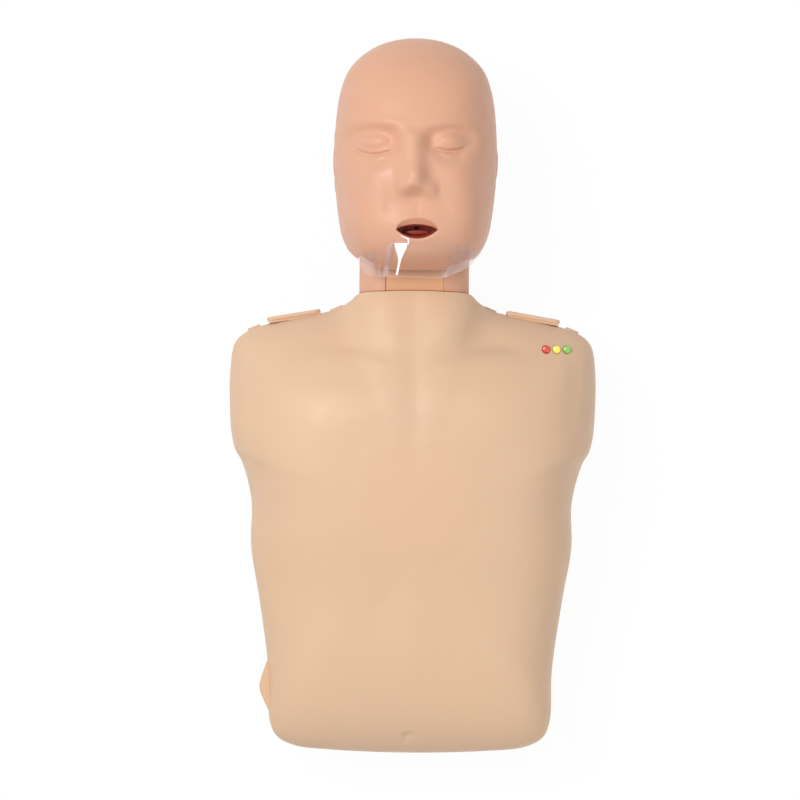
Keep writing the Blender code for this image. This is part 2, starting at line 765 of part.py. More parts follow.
HEAD_SIDE = [
    (0.0, CHIN_Y),
    (0.030, CHIN_Y + 0.0010),
    (0.050, CHIN_Y + 0.0080),
    (0.0605, CHIN_Y + 0.0190),
    (0.0672, CHIN_Y + 0.0320),
    (0.0712, CHIN_Y + 0.0500),
    (0.0745, 0.1930),
    (HEAD_HALF, HEAD_CENTRE_Y),
    (0.0735, 0.2620),
    (0.0700, CROWN_Y - 0.0480),
    (0.0635, CROWN_Y - 0.0310),
    (0.0535, CROWN_Y - 0.0190),
    (0.0390, CROWN_Y - 0.0088),
    (0.0200, CROWN_Y - 0.0020),
    (0.0, CROWN_Y),
]
HEAD = Outline(HEAD_SIDE, HEAD_CENTRE_Y)


def face_relief(x, y):
    """Brow, closed eyes, cheeks, nose, lips and chin, as heights over the plain dome."""
    side = np.abs(x)
    relief = 0.0030 * bump(side, y, 0.028, 0.250, 0.026, 0.008)
    relief -= 0.0085 * bump(side, y, 0.033, EYE_Y - 0.001, 0.019, 0.012)
    relief += 0.0070 * bump(side, y, EYE_X, EYE_Y, 0.013, 0.0085)
    relief += 0.0030 * bump(side, y, 0.044, 0.208, 0.018, 0.018)
    rise = np.clip((EYE_Y + 0.010 - y) / (EYE_Y + 0.010 - NOSE_TIP_Y), 0.0, 1.0)
    fall = np.clip((y - NOSE_BASE_Y + 0.003) / 0.016, 0.0, 1.0)
    ridge = 0.004 + 0.016 * rise
    relief += ridge * fall * fall * (3 - 2 * fall) * np.exp(-((x / (0.0085 + 0.0035 * rise)) ** 2)) * (rise > 0)
    relief += 0.0080 * bump(side, y, 0.0140, NOSE_BASE_Y + 0.008, 0.0065, 0.0070)
    relief += 0.0050 * bump(x, y, 0.0, MOUTH_Y, 0.028, 0.014)
    relief += 0.0060 * bump(x, y, 0.0, CHIN_Y + 0.014, 0.020, 0.011)
    relief -= 0.0020 * bump(x, y, 0.0, MOUTH_Y - 0.0135, 0.018, 0.004)
    return relief


def head_surface(cells, depth, front):
    """Grid of the front or back of the head, moved in by depth."""
    share, angle = disc_grid(cells)
    radius = HEAD.inset(angle, depth)
    x = share * radius * np.cos(angle)
    y = HEAD.centre_y + share * radius * np.sin(angle)
    jawward = np.clip(-np.sin(angle), 0.0, 1.0) ** 2
    if not front:
        dome = np.sqrt(np.clip(1 - share**2.6, 0.0, 1.0))
        rim = HEAD_SPLIT_Z - 0.002
        return x, y, rim - (rim - SKULL_Z - depth) * dome
    dome = np.sqrt(np.clip(1 - share ** (2.4 + 4.5 * jawward), 0.0, 1.0))
    rim = HEAD_SPLIT_Z + 0.002
    relief = face_relief(x, y)
    if depth:
        relief = np.minimum(relief, 0.0)
    return x, y, rim + (FACE_Z - depth - rim) * dome + relief * np.minimum(1.0, 2.0 * dome)


HEAD_POSTS = ((-0.034, 0.282), (0.034, 0.282), (-0.048, 0.206), (0.048, 0.206))
POST_RADIUS = 0.006
HEAD_SEAT_Z = 0.072
HEAD_SCREW_TIP_Z = 0.122


def head_cutter(name, half, profile):
    """A cutter across the head with the given (y, z) section."""
    return lofted(name, [[(x, y, z) for y, z in profile] for x in (-half, half)])


def head_passage(name):
    """The way through the jaw and nape for the neck, with room to tilt."""
    profile = [
        (COLLAR_Y - 0.002, 0.010),
        (PASSAGE_END_Y - 0.006, 0.010),
        (PASSAGE_END_Y, 0.050),
        (PASSAGE_END_Y, HEAD_SPLIT_Z + 0.018),
        (PASSAGE_END_Y - 0.020, JAW_LIP_Z),
        (COLLAR_Y - 0.002, JAW_LIP_Z),
    ]
    return head_cutter(name, PASSAGE_HALF, profile)


def jaw_trim():
    """Slopes the jaw's lower edge up from the ears to the chin."""
    profile = [
        (CHIN_Y - 0.010, HEAD_SPLIT_Z - 0.003),
        (JAW_ANGLE_Y, HEAD_SPLIT_Z - 0.003),
        (JAW_ANGLE_Y, HEAD_SPLIT_Z + 0.004),
        (CHIN_Y + 0.012, JAW_LIP_Z - 0.010),
        (CHIN_Y - 0.010, JAW_LIP_Z + 0.003),
    ]
    return head_cutter("jaw_trim", HEAD_HALF + 0.01, profile)


def nape_trim():
    """Slopes the lower edge of the skull from the jaw's angle to the nape."""
    profile = [
        (CHIN_Y - 0.010, HEAD_SPLIT_Z + 0.003),
        (CHIN_Y - 0.010, SKULL_Z - 0.010),
        (PASSAGE_END_Y + 0.004, SKULL_Z - 0.010),
        (PASSAGE_END_Y, 0.046),
        (JAW_ANGLE_Y + 0.010, 0.072),
        (JAW_ANGLE_Y, HEAD_SPLIT_Z - 0.006),
        (JAW_ANGLE_Y, HEAD_SPLIT_Z + 0.003),
    ]
    return head_cutter("nape_trim", HEAD_HALF + 0.01, profile)


def make_head():
    face = domed("face_shell", *head_surface(24, 0.0, True), HEAD_SPLIT_Z + GAP, HEAD_TAN)
    face_hollow = domed("face_hollow", *head_surface(10, HEAD_WALL, True), HEAD_SPLIT_Z - 0.004)
    skull = domed("skull_shell", *head_surface(14, 0.0, False), HEAD_SPLIT_Z, HEAD_TAN)
    skull_hollow = domed("skull_hollow", *head_surface(10, HEAD_WALL, False), HEAD_SPLIT_Z + 0.004)
    for index, (x, y) in enumerate(HEAD_POSTS):
        number = index + 1
        cut(face_hollow, cylinder(f"face_post_{number}", POST_RADIUS, (x, y, HEAD_SPLIT_Z - 0.01), (x, y, 0.22), None, 12))
        cut(skull_hollow, cylinder(f"skull_post_{number}", POST_RADIUS, (x, y, 0.0), (x, y, HEAD_SPLIT_Z + 0.01), None, 12))
        cut(
            face,
            cylinder(
                f"face_pilot_{number}",
                SCREW_SHANK + GAP,
                (x, y, HEAD_SPLIT_Z - 0.005),
                (x, y, HEAD_SCREW_TIP_Z + 0.001),
                None,
                12,
            ),
        )
        cut(skull, screw_hole(f"skull_screw_hole_{number}", x, y, 0.0, HEAD_SEAT_Z, HEAD_SPLIT_Z + 0.01, True))
        screw(f"head_screw_{number}", x, y, HEAD_SEAT_Z, HEAD_SCREW_TIP_Z, True)
    for sign in (-1, 1):
        side = "left" if sign < 0 else "right"
        near, far = SADDLE_X - SADDLE_THICK / 2, SADDLE_X + SADDLE_THICK / 2
        low_x, high_x = (near, far) if sign > 0 else (-far, -near)
        cut(skull_hollow, block(f"saddle_{side}", (low_x, 0.134, 0.0), (high_x, 0.162, HEAD_SPLIT_Z + 0.01)))
    cut(face, face_hollow, head_passage("jaw_passage"), jaw_trim())
    cut(skull, skull_hollow, head_passage("nape_passage"), nape_trim())
    rod_slot = block(
        "rod_slot",
        (-0.064, PIVOT_Y - ROD_RADIUS - GAP, PIVOT_Z),
        (0.064, PIVOT_Y + ROD_RADIUS + GAP, HEAD_SPLIT_Z + 0.01),
    )
    rod_bed = cylinder("rod_bed", ROD_RADIUS + GAP, (-0.064, PIVOT_Y, PIVOT_Z), (0.064, PIVOT_Y, PIVOT_Z))
    cut(skull, rod_slot, rod_bed)
    cylinder("pivot_rod", ROD_RADIUS, (-0.0620, PIVOT_Y, PIVOT_Z), (0.0620, PIVOT_Y, PIVOT_Z), STEEL)
    mouth = [
        (MOUTH_HALF_X * cos(2 * pi * step / 24), MOUTH_Y + MOUTH_HALF_Y * sin(2 * pi * step / 24))
        for step in range(24)
    ]
    cut(face, extruded("mouth_cut", mouth, 0.160, 0.230))
    make_mouth_insert()
    return smooth(face), smooth(skull)


INSERT_TOP_Z = 0.1975
INSERT_DEPTH = 0.024
INSERT_WALL = 0.0014


def ellipse(half_x, half_y, z, count=24):
    return [
        (half_x * cos(2 * pi * step / count), MOUTH_Y + half_y * sin(2 * pi * step / count), z)
        for step in range(count)
    ]


def make_mouth_insert():
    """The mouth's lining: an oval cup, with the airway hole in its floor."""
    half_x, half_y = MOUTH_HALF_X - GAP, MOUTH_HALF_Y - GAP
    floor_z = INSERT_TOP_Z - INSERT_DEPTH
    insert = lofted(
        "mouth_insert",
        [
            ellipse(half_x, half_y, floor_z),
            ellipse(half_x, half_y, INSERT_TOP_Z),
            ellipse(half_x - INSERT_WALL, half_y - INSERT_WALL, INSERT_TOP_Z),
            ellipse(half_x - INSERT_WALL - 0.001, half_y - INSERT_WALL - 0.0004, floor_z + 0.002),
        ],
        MOUTH_RED,
    )
    cut(insert, cylinder("airway_hole", 0.004, (0.0, MOUTH_Y, floor_z - 0.002), (0.0, MOUTH_Y, floor_z + 0.006)))
    return smooth(insert)


FILM_GAP = 0.0013
FILM_THICK = 0.0005
FILM_HALF_ANGLE = radians(34)


def make_face_shield():
    """The clear film: it leaves the mouth, lies over the chin and hangs past the jaw."""
    across, down = 12, 6
    angle, run = np.meshgrid(
        -pi / 2 + np.linspace(-FILM_HALF_ANGLE, FILM_HALF_ANGLE, across + 1), np.linspace(0.0, 1.0, down + 1)
    )
    edge = HEAD.radius(angle)
    start = (HEAD_CENTRE_Y - MOUTH_Y + MOUTH_HALF_Y + 0.001) / np.maximum(np.cos(angle + pi / 2), 0.2)
    start = np.maximum(start, 0.76 * edge)

    def layer(lift):
        share = (start + (edge - start) * np.sin(run * pi / 2)) / edge
        radius = (edge + lift) * share
        x = radius * np.cos(angle)
        y = HEAD_CENTRE_Y + radius * np.sin(angle)
        jawward = np.clip(-np.sin(angle), 0.0, 1.0) ** 2
        dome = np.sqrt(np.clip(1 - share ** (2.4 + 4.5 * jawward), 0.0, 1.0))
        rim = HEAD_SPLIT_Z + 0.002
        z = rim + (FACE_Z + lift - rim) * np.maximum(dome, 0.52)
        return x, y, z + np.maximum(face_relief(x, y), 0.0) * np.minimum(1.0, 2.0 * dome)

    row = across + 1
    inner = list(zip(*(values.ravel() for values in layer(FILM_GAP))))
    outer = list(zip(*(values.ravel() for values in layer(FILM_GAP + FILM_THICK))))
    shift = len(inner)
    faces = []
    for j in range(down):
        for i in range(across):
            quad = (j * row + i, j * row + i + 1, (j + 1) * row + i + 1, (j + 1) * row + i)
            faces += [quad, tuple(shift + index for index in quad)]
    rim = (
        [i for i in range(across)]
        + [j * row + across for j in range(down)]
        + [down * row + across - i for i in range(across)]
        + [(down - j) * row for j in range(down)]
    )
    for step in range(len(rim)):
        a, b = rim[step], rim[(step + 1) % len(rim)]
        faces.append((a, b, shift + b, shift + a))
    return smooth(new_object("face_shield", inner + outer, faces, FILM))


# Compression unit


def pad_grid(half, cells):
    """A grid over a rounded rectangle about the push point."""
    share, angle = disc_grid(cells)
    reach = (np.abs(np.cos(angle) / half[0]) ** 4 + np.abs(np.sin(angle) / half[1]) ** 4) ** -0.25
    return share * reach * np.cos(angle), PUSH_Y + share * reach * np.sin(angle)


def plate_top(x, y):
    return torso_front(x, y, SKIN_WALL) - BAG_TO_SKIN - BAG_THICK - GAP


def make_compression_unit():
    x, y = pad_grid(PAD_HALF, 8)
    bag_low = plate_top(x, y) + GAP
    smooth(between("lung_bag", x, y, bag_low, bag_low + BAG_THICK, BAG_WHITE))
    smooth(between("chest_plate", x, y, plate_top(x, y) - PLATE_THICK, plate_top(x, y), GREY_PLASTIC))
    x, y = pad_grid((PISTON_RADIUS * 1.1, PISTON_RADIUS * 1.1), 14)
    piston_top = float(plate_top(x, y).min()) - PLATE_THICK - 2 * GAP
    piston = turned(
        "piston",
        [
            (PISTON_RADIUS - PISTON_WALL, PISTON_BOTTOM_Z),
            (PISTON_RADIUS, PISTON_BOTTOM_Z),
            (PISTON_RADIUS, piston_top),
            (0.006, piston_top),
            (0.006, piston_top - 0.004),
            (PISTON_RADIUS - PISTON_WALL, piston_top - 0.004),
        ],
        WHITE_PLASTIC,
        ring=True,
    )
    piston.location = (0.0, PUSH_Y, 0.0)
    bore = PISTON_RADIUS + RUNNING_GAP
    tube = bore + GUIDE_WALL
    base = PAD_TOP_Z + GAP
    guide = turned(
        "piston_guide",
        [
            (bore, base),
            (FLANGE_RADIUS, base),
            (FLANGE_RADIUS, base + FLANGE_THICK),
            (tube + 0.004, base + FLANGE_THICK),
            (tube, base + FLANGE_THICK + 0.010),
            (tube, GUIDE_TOP_Z),
            (bore, GUIDE_TOP_Z),
        ],
        GREY_PLASTIC,
        ring=True,
    )
    guide.location = (0.0, PUSH_Y, 0.0)
    seat = base + FLANGE_THICK
    for index, angle in enumerate(GUIDE_SCREW_ANGLES):
        x = GUIDE_SCREW_RADIUS * cos(angle)
        y = PUSH_Y + GUIDE_SCREW_RADIUS * sin(angle)
        cut(guide, cylinder(f"flange_hole_{index + 1}", SCREW_SHANK + GAP, (x, y, 0.0), (x, y, 0.02), None, 12))
        screw(f"guide_screw_{index + 1}", x, y, seat, 0.0018, False)
    bumper = turned(
        "bumper_ring",
        [
            (SPRING_OUTER - 2 * SPRING_WIRE, base),
            (PISTON_RADIUS - GAP, base),
            (PISTON_RADIUS - GAP, base + BUMPER_THICK),
            (SPRING_OUTER - 2 * SPRING_WIRE, base + BUMPER_THICK),
        ],
        BLACK_RUBBER,
        ring=True,
    )
    bumper.location = (0.0, PUSH_Y, 0.0)
    make_spring(base + BUMPER_THICK + GAP, piston_top - 0.004 - GAP)
    make_click_leaf(tube + 2 * GAP)


def make_spring(low_z, high_z):
    """An open coil spring, as a round wire swept along a helix."""
    wire = SPRING_WIRE / 2
    radius = SPRING_OUTER - wire
    low, high = low_z + wire, high_z - wire
    steps_per_turn, sides = 16, 5
    steps = SPRING_TURNS * steps_per_turn
    loops = []
    for step in range(steps + 1):
        angle = 2 * pi * step / steps_per_turn
        rise = (high - low) * step / steps
        outward = Vector((cos(angle), sin(angle), 0.0))
        centre = Vector((0.0, PUSH_Y, low + rise)) + outward * radius
        loops.append(
            [
                tuple(centre + outward * wire * cos(2 * pi * k / sides) + Vector((0, 0, wire * sin(2 * pi * k / sides))))
                for k in range(sides)
            ]
        )
    return smooth(lofted("compression_spring", loops, STEEL))


LEAF_WIDTH = 0.012
LEAF_THICK = 0.001


def make_click_leaf(inner):
    """A steel leaf on the guide, whose hooked end rides on the piston."""
    tip = PISTON_RADIUS + RUNNING_GAP
    top = GUIDE_TOP_Z + GAP
    profile = [
        (inner, GUIDE_TOP_Z - 0.040),
        (inner + LEAF_THICK, GUIDE_TOP_Z - 0.040),
        (inner + LEAF_THICK, top + LEAF_THICK),
        (tip, top + LEAF_THICK),
        (tip, top),
        (inner, top),
    ]
    loops = [[(x, PUSH_Y + side * LEAF_WIDTH / 2, z) for x, z in profile] for side in (-1, 1)]
    return lofted("click_leaf", loops, STEEL)


# Monitor, button and batteries


def make_monitor():
    low = (CASE_CENTRE[0] - CASE_HALF[0], CASE_CENTRE[1] - CASE_HALF[1])
    high = (CASE_CENTRE[0] + CASE_HALF[0], CASE_CENTRE[1] + CASE_HALF[1])
    outline = rounded_rectangle(*CASE_HALF, 0.003, 3, CASE_CENTRE)
    case = extruded("monitor_case", outline, CASE_BASE_Z, CASE_TOP_Z, GREY_PLASTIC)
    cut(
        case,
        block(
            "case_hollow",
            (low[0] + CASE_WALL, low[1] + CASE_WALL, CASE_BASE_Z - 0.005),
            (high[0] - CASE_WALL, high[1] - CASE_WALL, CASE_TOP_Z - CASE_WALL),
        ),
    )
    board_top = CASE_TOP_Z - CASE_WALL - 0.003
    block(
        "circuit_board",
        (low[0] + CASE_WALL + GAP, low[1] + CASE_WALL + GAP, board_top - BOARD_THICK),
        (high[0] - CASE_WALL - GAP, high[1] - CASE_WALL - GAP, board_top),
        BOARD_GREEN,
    )
    looks = (("red", LAMP_RED), ("yellow", LAMP_YELLOW), ("green", LAMP_GREEN))
    for lamp_x, (colour, look) in zip(LED_XS, looks):
        cut(
            case,
            cylinder(
                f"pipe_hole_{colour}",
                LED_RADIUS + GAP,
                (lamp_x, LED_Y, CASE_TOP_Z - 0.004),
                (lamp_x, LED_Y, CASE_TOP_Z + 0.01),
            ),
        )
        crest = lamp_crest(lamp_x)
        lens = turned(
            f"led_lens_{colour}",
            [
                (LED_RADIUS, board_top + GAP),
                (LED_RADIUS, crest - 0.0010),
                (LED_RADIUS * 0.8, crest - 0.0003),
                (LED_RADIUS * 0.4, crest),
            ],
            look,
            14,
        )
        lens.location = (lamp_x, LED_Y, 0.0)
    return case


def lamp_crest(lamp_x):
    """How high a light's lens reaches: just over the skin round it."""
    return float(torso_front(np.array(lamp_x), np.array(LED_Y), 0.0)) + LED_PROUD


def make_button():
    x = CASE_CENTRE[0]
    outer_y = slope_point(x) + BUTTON_PROUD
    rear_y = CASE_CENTRE[1] + CASE_HALF[1] + BUTTON_TRAVEL + GAP
    collar_y = slope_point(x + BUTTON_RADIUS + 0.002) - 0.0075
    button = turned(
        "power_button",
        [
            (BUTTON_RADIUS * 0.6, rear_y),
            (BUTTON_RADIUS * 0.6, collar_y - 0.002),
            (BUTTON_RADIUS + 0.0015, collar_y - 0.002),
            (BUTTON_RADIUS + 0.0015, collar_y),
            (BUTTON_RADIUS - GAP, collar_y),
            (BUTTON_RADIUS - GAP, outer_y - 0.0006),
            (BUTTON_RADIUS - 0.0010, outer_y),
        ],
        GREY_PLASTIC,
        24,
    )
    button.rotation_euler = (-pi / 2, 0.0, 0.0)
    button.location = (x, 0.0, BUTTON_Z)
    return button


def make_batteries():
    middle_z = COVER_RECESS + COVER_THICK + GAP + CELL_RADIUS + GAP
    for index, sign in enumerate((-1, 1)):
        x = BAY_CENTRE[0] + sign * (CELL_RADIUS + GAP)
        y = BAY_CENTRE[1]
        half = CELL_LENGTH / 2
        cell = turned(
            f"battery_{index + 1}",
            [
                (CELL_RADIUS - 0.0006, -half),
                (CELL_RADIUS, -half + 0.0006),
                (CELL_RADIUS, half - 0.0016),
                (CELL_RADIUS - 0.0006, half - 0.0010),
                (0.0027, half - 0.0010),
                (0.0027, half),
            ],
            CELL_BLUE,
            20,
        )
        cell.rotation_euler = (sign * pi / 2, 0.0, 0.0)
        cell.location = (x, y, middle_z)
    cover = bay_box(
        "battery_cover",
        LEDGE - GAP,
        COVER_TONGUE - BAY_WALL,
        COVER_RECESS,
        COVER_RECESS + COVER_THICK,
        BODY_TAN,
    )
    hole = turned(
        "cover_hole",
        [
            (SCREW_HEAD + GAP, -0.001),
            (SCREW_HEAD + GAP, COVER_RECESS + 0.0012),
            (SCREW_SHANK + GAP, COVER_RECESS + 0.0012),
            (SCREW_SHANK + GAP, 0.01),
        ],
        None,
        12,
    )
    hole.location = (BAY_CENTRE[0], COVER_SCREW_Y, 0.0)
    cut(cover, hole)
    lid_screw = turned(
        "battery_cover_screw",
        [
            (SCREW_HEAD, COVER_RECESS),
            (SCREW_HEAD, COVER_RECESS + 0.0012 - GAP),
            (SCREW_SHANK, COVER_RECESS + 0.0012 - GAP),
            (SCREW_SHANK, 0.0115),
        ],
        STEEL,
        12,
    )
    lid_screw.location = (BAY_CENTRE[0], COVER_SCREW_Y, 0.0)


make_chest_skin()
make_back_shell()
for side_sign in (-1, 1):
    make_shoulder_clip(side_sign)
make_neck()
make_head()
make_face_shield()
make_compression_unit()
make_monitor()
make_button()
make_batteries()
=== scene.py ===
"""Looks of the CPR training manikin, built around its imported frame. Metres, +Z front, +Y crown."""

from math import atan2, cos, pi, radians, sin, sqrt

import bmesh
import bpy
import numpy as np
from mathutils import Matrix, Vector


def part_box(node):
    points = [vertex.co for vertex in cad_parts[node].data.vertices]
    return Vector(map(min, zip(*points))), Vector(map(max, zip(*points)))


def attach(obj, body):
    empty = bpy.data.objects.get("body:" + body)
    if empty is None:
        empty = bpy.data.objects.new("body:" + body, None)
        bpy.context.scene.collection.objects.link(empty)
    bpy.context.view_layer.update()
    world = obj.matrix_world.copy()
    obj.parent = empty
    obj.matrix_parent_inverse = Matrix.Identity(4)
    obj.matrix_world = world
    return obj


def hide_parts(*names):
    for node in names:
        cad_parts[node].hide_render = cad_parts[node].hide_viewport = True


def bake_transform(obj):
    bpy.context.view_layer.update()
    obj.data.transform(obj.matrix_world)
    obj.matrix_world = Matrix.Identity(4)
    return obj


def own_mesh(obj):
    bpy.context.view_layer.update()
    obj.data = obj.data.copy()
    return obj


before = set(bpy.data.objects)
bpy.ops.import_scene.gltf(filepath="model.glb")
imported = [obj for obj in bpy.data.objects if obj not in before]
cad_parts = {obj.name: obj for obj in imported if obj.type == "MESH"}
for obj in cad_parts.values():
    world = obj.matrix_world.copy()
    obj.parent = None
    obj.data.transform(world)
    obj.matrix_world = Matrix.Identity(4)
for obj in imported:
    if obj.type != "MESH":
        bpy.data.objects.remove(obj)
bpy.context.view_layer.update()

# Picture
PHOTO_PIXELS = 800
PIXEL_SIZE = 0.000924
PHOTO_WIDTH = PHOTO_PIXELS * PIXEL_SIZE
CAMERA_DISTANCE = 6.0
SENSOR_MM = 36.0
CAMERA_AIM = Vector((-0.0120, -0.0033, 0.090))
CAMERA_SIDE = radians(1.0)
CAMERA_ROLL = radians(0.54)

# Sizes that several pieces share
GAP = 0.0003
RIM_RISE = 0.002
TORSO_CENTRE_Y = -0.110
FOOT_Y = -0.330
HIP_HALF = 0.131
WAIST_Y = -0.252
WAIST_HALF = 0.1315
RIB_HALF = 0.1484
RIB_LOW_Y = -0.139
RIB_HIGH_Y = -0.097
ARM_STEP_Y = -0.0505
SHOULDER_HALF = 0.169
SHOULDER_LOW_Y = -0.015
SHOULDER_HIGH_Y = 0.025
SLOPE_OUT = (0.152, 0.060)
COLLAR_HALF = 0.0545
COLLAR_Y = 0.097
SPLIT_Z = 0.070
SKIN_WALL = 0.003
SKIN_FULLNESS = 5.0
NECK_REACH = 0.045

NECK_HALF = 0.0504
NECK_DEPTH = 0.076
NECK_CENTRE_Z = 0.090
NECK_CORNER = 0.024
NECK_ROOT_Y = 0.062
NECK_TOP_Z = NECK_CENTRE_Z + NECK_DEPTH / 2
NECK_LOW_Z = NECK_CENTRE_Z - NECK_DEPTH / 2
PANEL_PROUD = 0.0006
COLLAR_CLEARANCE = 0.0008
COLLAR_Z = NECK_TOP_Z + PANEL_PROUD + COLLAR_CLEARANCE + SKIN_WALL
NECK_WAY_YS = (NECK_ROOT_Y - 0.004, COLLAR_Y + 0.050)

HEAD_CENTRE_Y = 0.222
HEAD_HALF = 0.0750
CROWN_Y = 0.330
CHIN_Y = 0.1135
HEAD_SPLIT_Z = 0.104
FACE_Z = 0.200
SKULL_Z = 0.030
HEAD_WALL = 0.0032
PIVOT_Y = 0.148
PIVOT_Z = 0.095
JAW_ANGLE_Y = 0.134
JAW_LIP_Z = 0.142
PASSAGE_HALF = 0.052
PASSAGE_END_Y = 0.158
MOUTH_Y = 0.1512
MOUTH_HALF_X = 0.0187
MOUTH_RISE = 0.0052
MOUTH_FALL = 0.0079
EYE_MIDDLE_X = -0.0050
EYE_Y = 0.2338
NOSE_TIP_Y = 0.2025
NOSE_BASE_Y = 0.1815
PUSH_Y = -0.069
SCREW_HEAD = 0.0036
SCREW_HEAD_RISE = 0.0022
SCREW_SHANK = 0.0016
HEAD_HOLE = SCREW_HEAD + GAP
SHANK_HOLE = SCREW_SHANK + GAP


# Mesh tools


def mesh_object(name, vertices, faces):
    """A mesh object with its faces turned outwards."""
    mesh = bpy.data.meshes.new(name)
    mesh.from_pydata([tuple(map(float, vertex)) for vertex in vertices], [], faces)
    shape = bmesh.new()
    shape.from_mesh(mesh)
    bmesh.ops.recalc_face_normals(shape, faces=shape.faces)
    shape.to_mesh(mesh)
    shape.free()
    made = bpy.data.objects.new(name, mesh)
    bpy.context.scene.collection.objects.link(made)
    return made


def smooth(made, angle=radians(38)):
    made.data.shade_smooth()
    made.data.set_sharp_from_angle(angle=angle)
    return made


def settle(made):
    """Turns a piece's modifiers into its own mesh."""
    bpy.context.view_layer.update()
    evaluated = made.evaluated_get(bpy.context.evaluated_depsgraph_get())
    mesh = bpy.data.meshes.new_from_object(evaluated)
    made.modifiers.clear()
    made.data = mesh
    return made


def boolean(target, tools, operation):
    """Cuts or joins target with each tool in turn, and removes the tools."""
    for tool in tools:
        step = target.modifiers.new(tool.name, "BOOLEAN")
        step.operation = operation
        step.solver = "EXACT"
        step.object = tool
    settle(target)
    for tool in tools:
        bpy.data.objects.remove(tool, do_unlink=True)
    return target


def cut(target, *tools):
    return boolean(target, tools, "DIFFERENCE")


def join(target, *tools):
    return boolean(target, tools, "UNION")


def ring_faces(first, second):
    """The faces between two rings of point indices."""
    return [(first[step - 1], first[step], second[step], second[step - 1]) for step in range(len(first))]


def lofted(name, loops):
    """A solid through loops of as many points each, closed flat at both ends."""
    count = len(loops[0])
    rings = [range(row * count, (row + 1) * count) for row in range(len(loops))]
    faces = [list(rings[0])]
    for lower, upper in zip(rings, rings[1:]):
        faces += ring_faces(lower, upper)
    faces.append(list(rings[-1]))
    return mesh_object(name, [point for loop in loops for point in loop], faces)


def turned(name, profile, segments=48):
    """Turns (radius, height) pairs about Z."""
    turns = [2 * pi * step / segments for step in range(segments)]
    circle = [(cos(turn), sin(turn)) for turn in turns]
    return lofted(name, [[(radius * x, radius * y, z) for x, y in circle] for radius, z in profile])


def place(made, matrix):
    """Moves a piece's own points, so that its object stays at the origin."""
    made.data.transform(matrix)
    return made


def along(start, end):
    """The matrix that stands a piece made about Z between two points."""
    start, end = Vector(start), Vector(end)
    return Matrix.Translation(start) @ (end - start).to_track_quat("Z", "Y").to_matrix().to_4x4()


def cylinder(name, radius, start, end):
    length = (Vector(end) - Vector(start)).length
    return place(turned(name, [(radius, 0.0), (radius, length)], 32), along(start, end))


def upright(name, radius, spot, low, high):
    """A cylinder along Z over a place, between two heights."""
    return cylinder(name, radius, (spot[0], spot[1], low), (spot[0], spot[1], high))


def over(made, spot):
    """Moves a piece made about Z to stand over a place."""
    return place(made, Matrix.Translation((spot[0], spot[1], 0.0)))


def measured(name):
    """The low and high corner of a CAD node, and the middle between them."""
    low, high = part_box(name)
    return low, high, (low + high) / 2


def prism(name, section, levels):
    """A solid with one (x, y) section between two heights."""
    return lofted(name, [[(x, y, z) for x, y in section] for z in levels])


def rectangle(low, high, inset=0.0):
    """The corners of a box seen along Z, moved in by inset."""
    left, right = low[0] + inset, high[0] - inset
    near, far = low[1] + inset, high[1] - inset
    return [(left, near), (right, near), (right, far), (left, far)]


def block(name, low, high):
    return prism(name, rectangle(low, high), (low[2], high[2]))


def rounded_rectangle(half_x, half_y, corner, steps=10, centre=(0.0, 0.0)):
    """Corner points of a rectangle with round corners, anticlockwise."""
    points = []
    for quarter, (sign_x, sign_y) in enumerate(((1, 1), (-1, 1), (-1, -1), (1, -1))):
        middle_x = centre[0] + sign_x * (half_x - corner)
        middle_y = centre[1] + sign_y * (half_y - corner)
        for step in range(steps + 1):
            angle = pi / 2 * (quarter + step / steps)
            points.append((middle_x + corner * cos(angle), middle_y + corner * sin(angle)))
    return points


def between(first, second, time, start, end):
    """The point between two that a time between start and end stands for."""
    share = (time - start) / (end - start)
    return (1 - share) * first + share * second


def through_points(points, steps=14, closed=True):
    """A smooth curve through the points, evenly tight however they are spaced."""
    points = [np.array(point, float) for point in points]
    if not closed:
        points = [2 * points[0] - points[1]] + points + [2 * points[-1] - points[-2]]
    count = len(points)
    curve = []
    for index in range(count) if closed else range(1, count - 2):
        near = [points[(index + shift) % count] for shift in (-1, 0, 1, 2)]
        spans = [sqrt(np.linalg.norm(after - before)) for before, after in zip(near, near[1:])]
        times = [0.0, spans[0], spans[0] + spans[1], sum(spans)]
        for time in np.linspace(times[1], times[2], steps, endpoint=False):
            level = near
            for reach in (1, 2):
                level = [
                    between(level[k], level[k + 1], time, times[k], times[k + reach])
                    for k in range(len(level) - 1)
                ]
            curve.append(between(level[0], level[1], time, times[1], times[2]))
    if not closed:
        curve.append(points[-2])
    return np.array(curve)


class Outline:
    """A closed outline as its radius in each direction from a centre on the Y axis."""

    def __init__(self, right_side, centre_y):
        left_side = [(-x, y) for x, y in reversed(right_side) if x > 0]
        curve = through_points(right_side + left_side, 24)
        angles = np.arctan2(curve[:, 1] - centre_y, curve[:, 0])
        order = np.argsort(angles)
        self.centre_y = centre_y
        self.angles = angles[order]
        self.radii = np.hypot(curve[:, 0], curve[:, 1] - centre_y)[order]

    def radius(self, angle):
        return np.interp(angle, self.angles, self.radii, period=2 * pi)

    def inset(self, angle, depth):
        """The radius of the same outline moved in by depth, square to itself."""
        step = 0.02
        radius = self.radius(angle)
        slope = (self.radius(angle + step) - self.radius(angle - step)) / (2 * step)
        return radius - depth * np.minimum(np.sqrt(1 + (slope / radius) ** 2), 1.8)

    def loop(self, angles, depth, height):
        radii = self.inset(angles, depth)
        return [
            (radius * cos(angle), self.centre_y + radius * sin(angle), height)
            for angle, radius in zip(angles, radii)
        ]


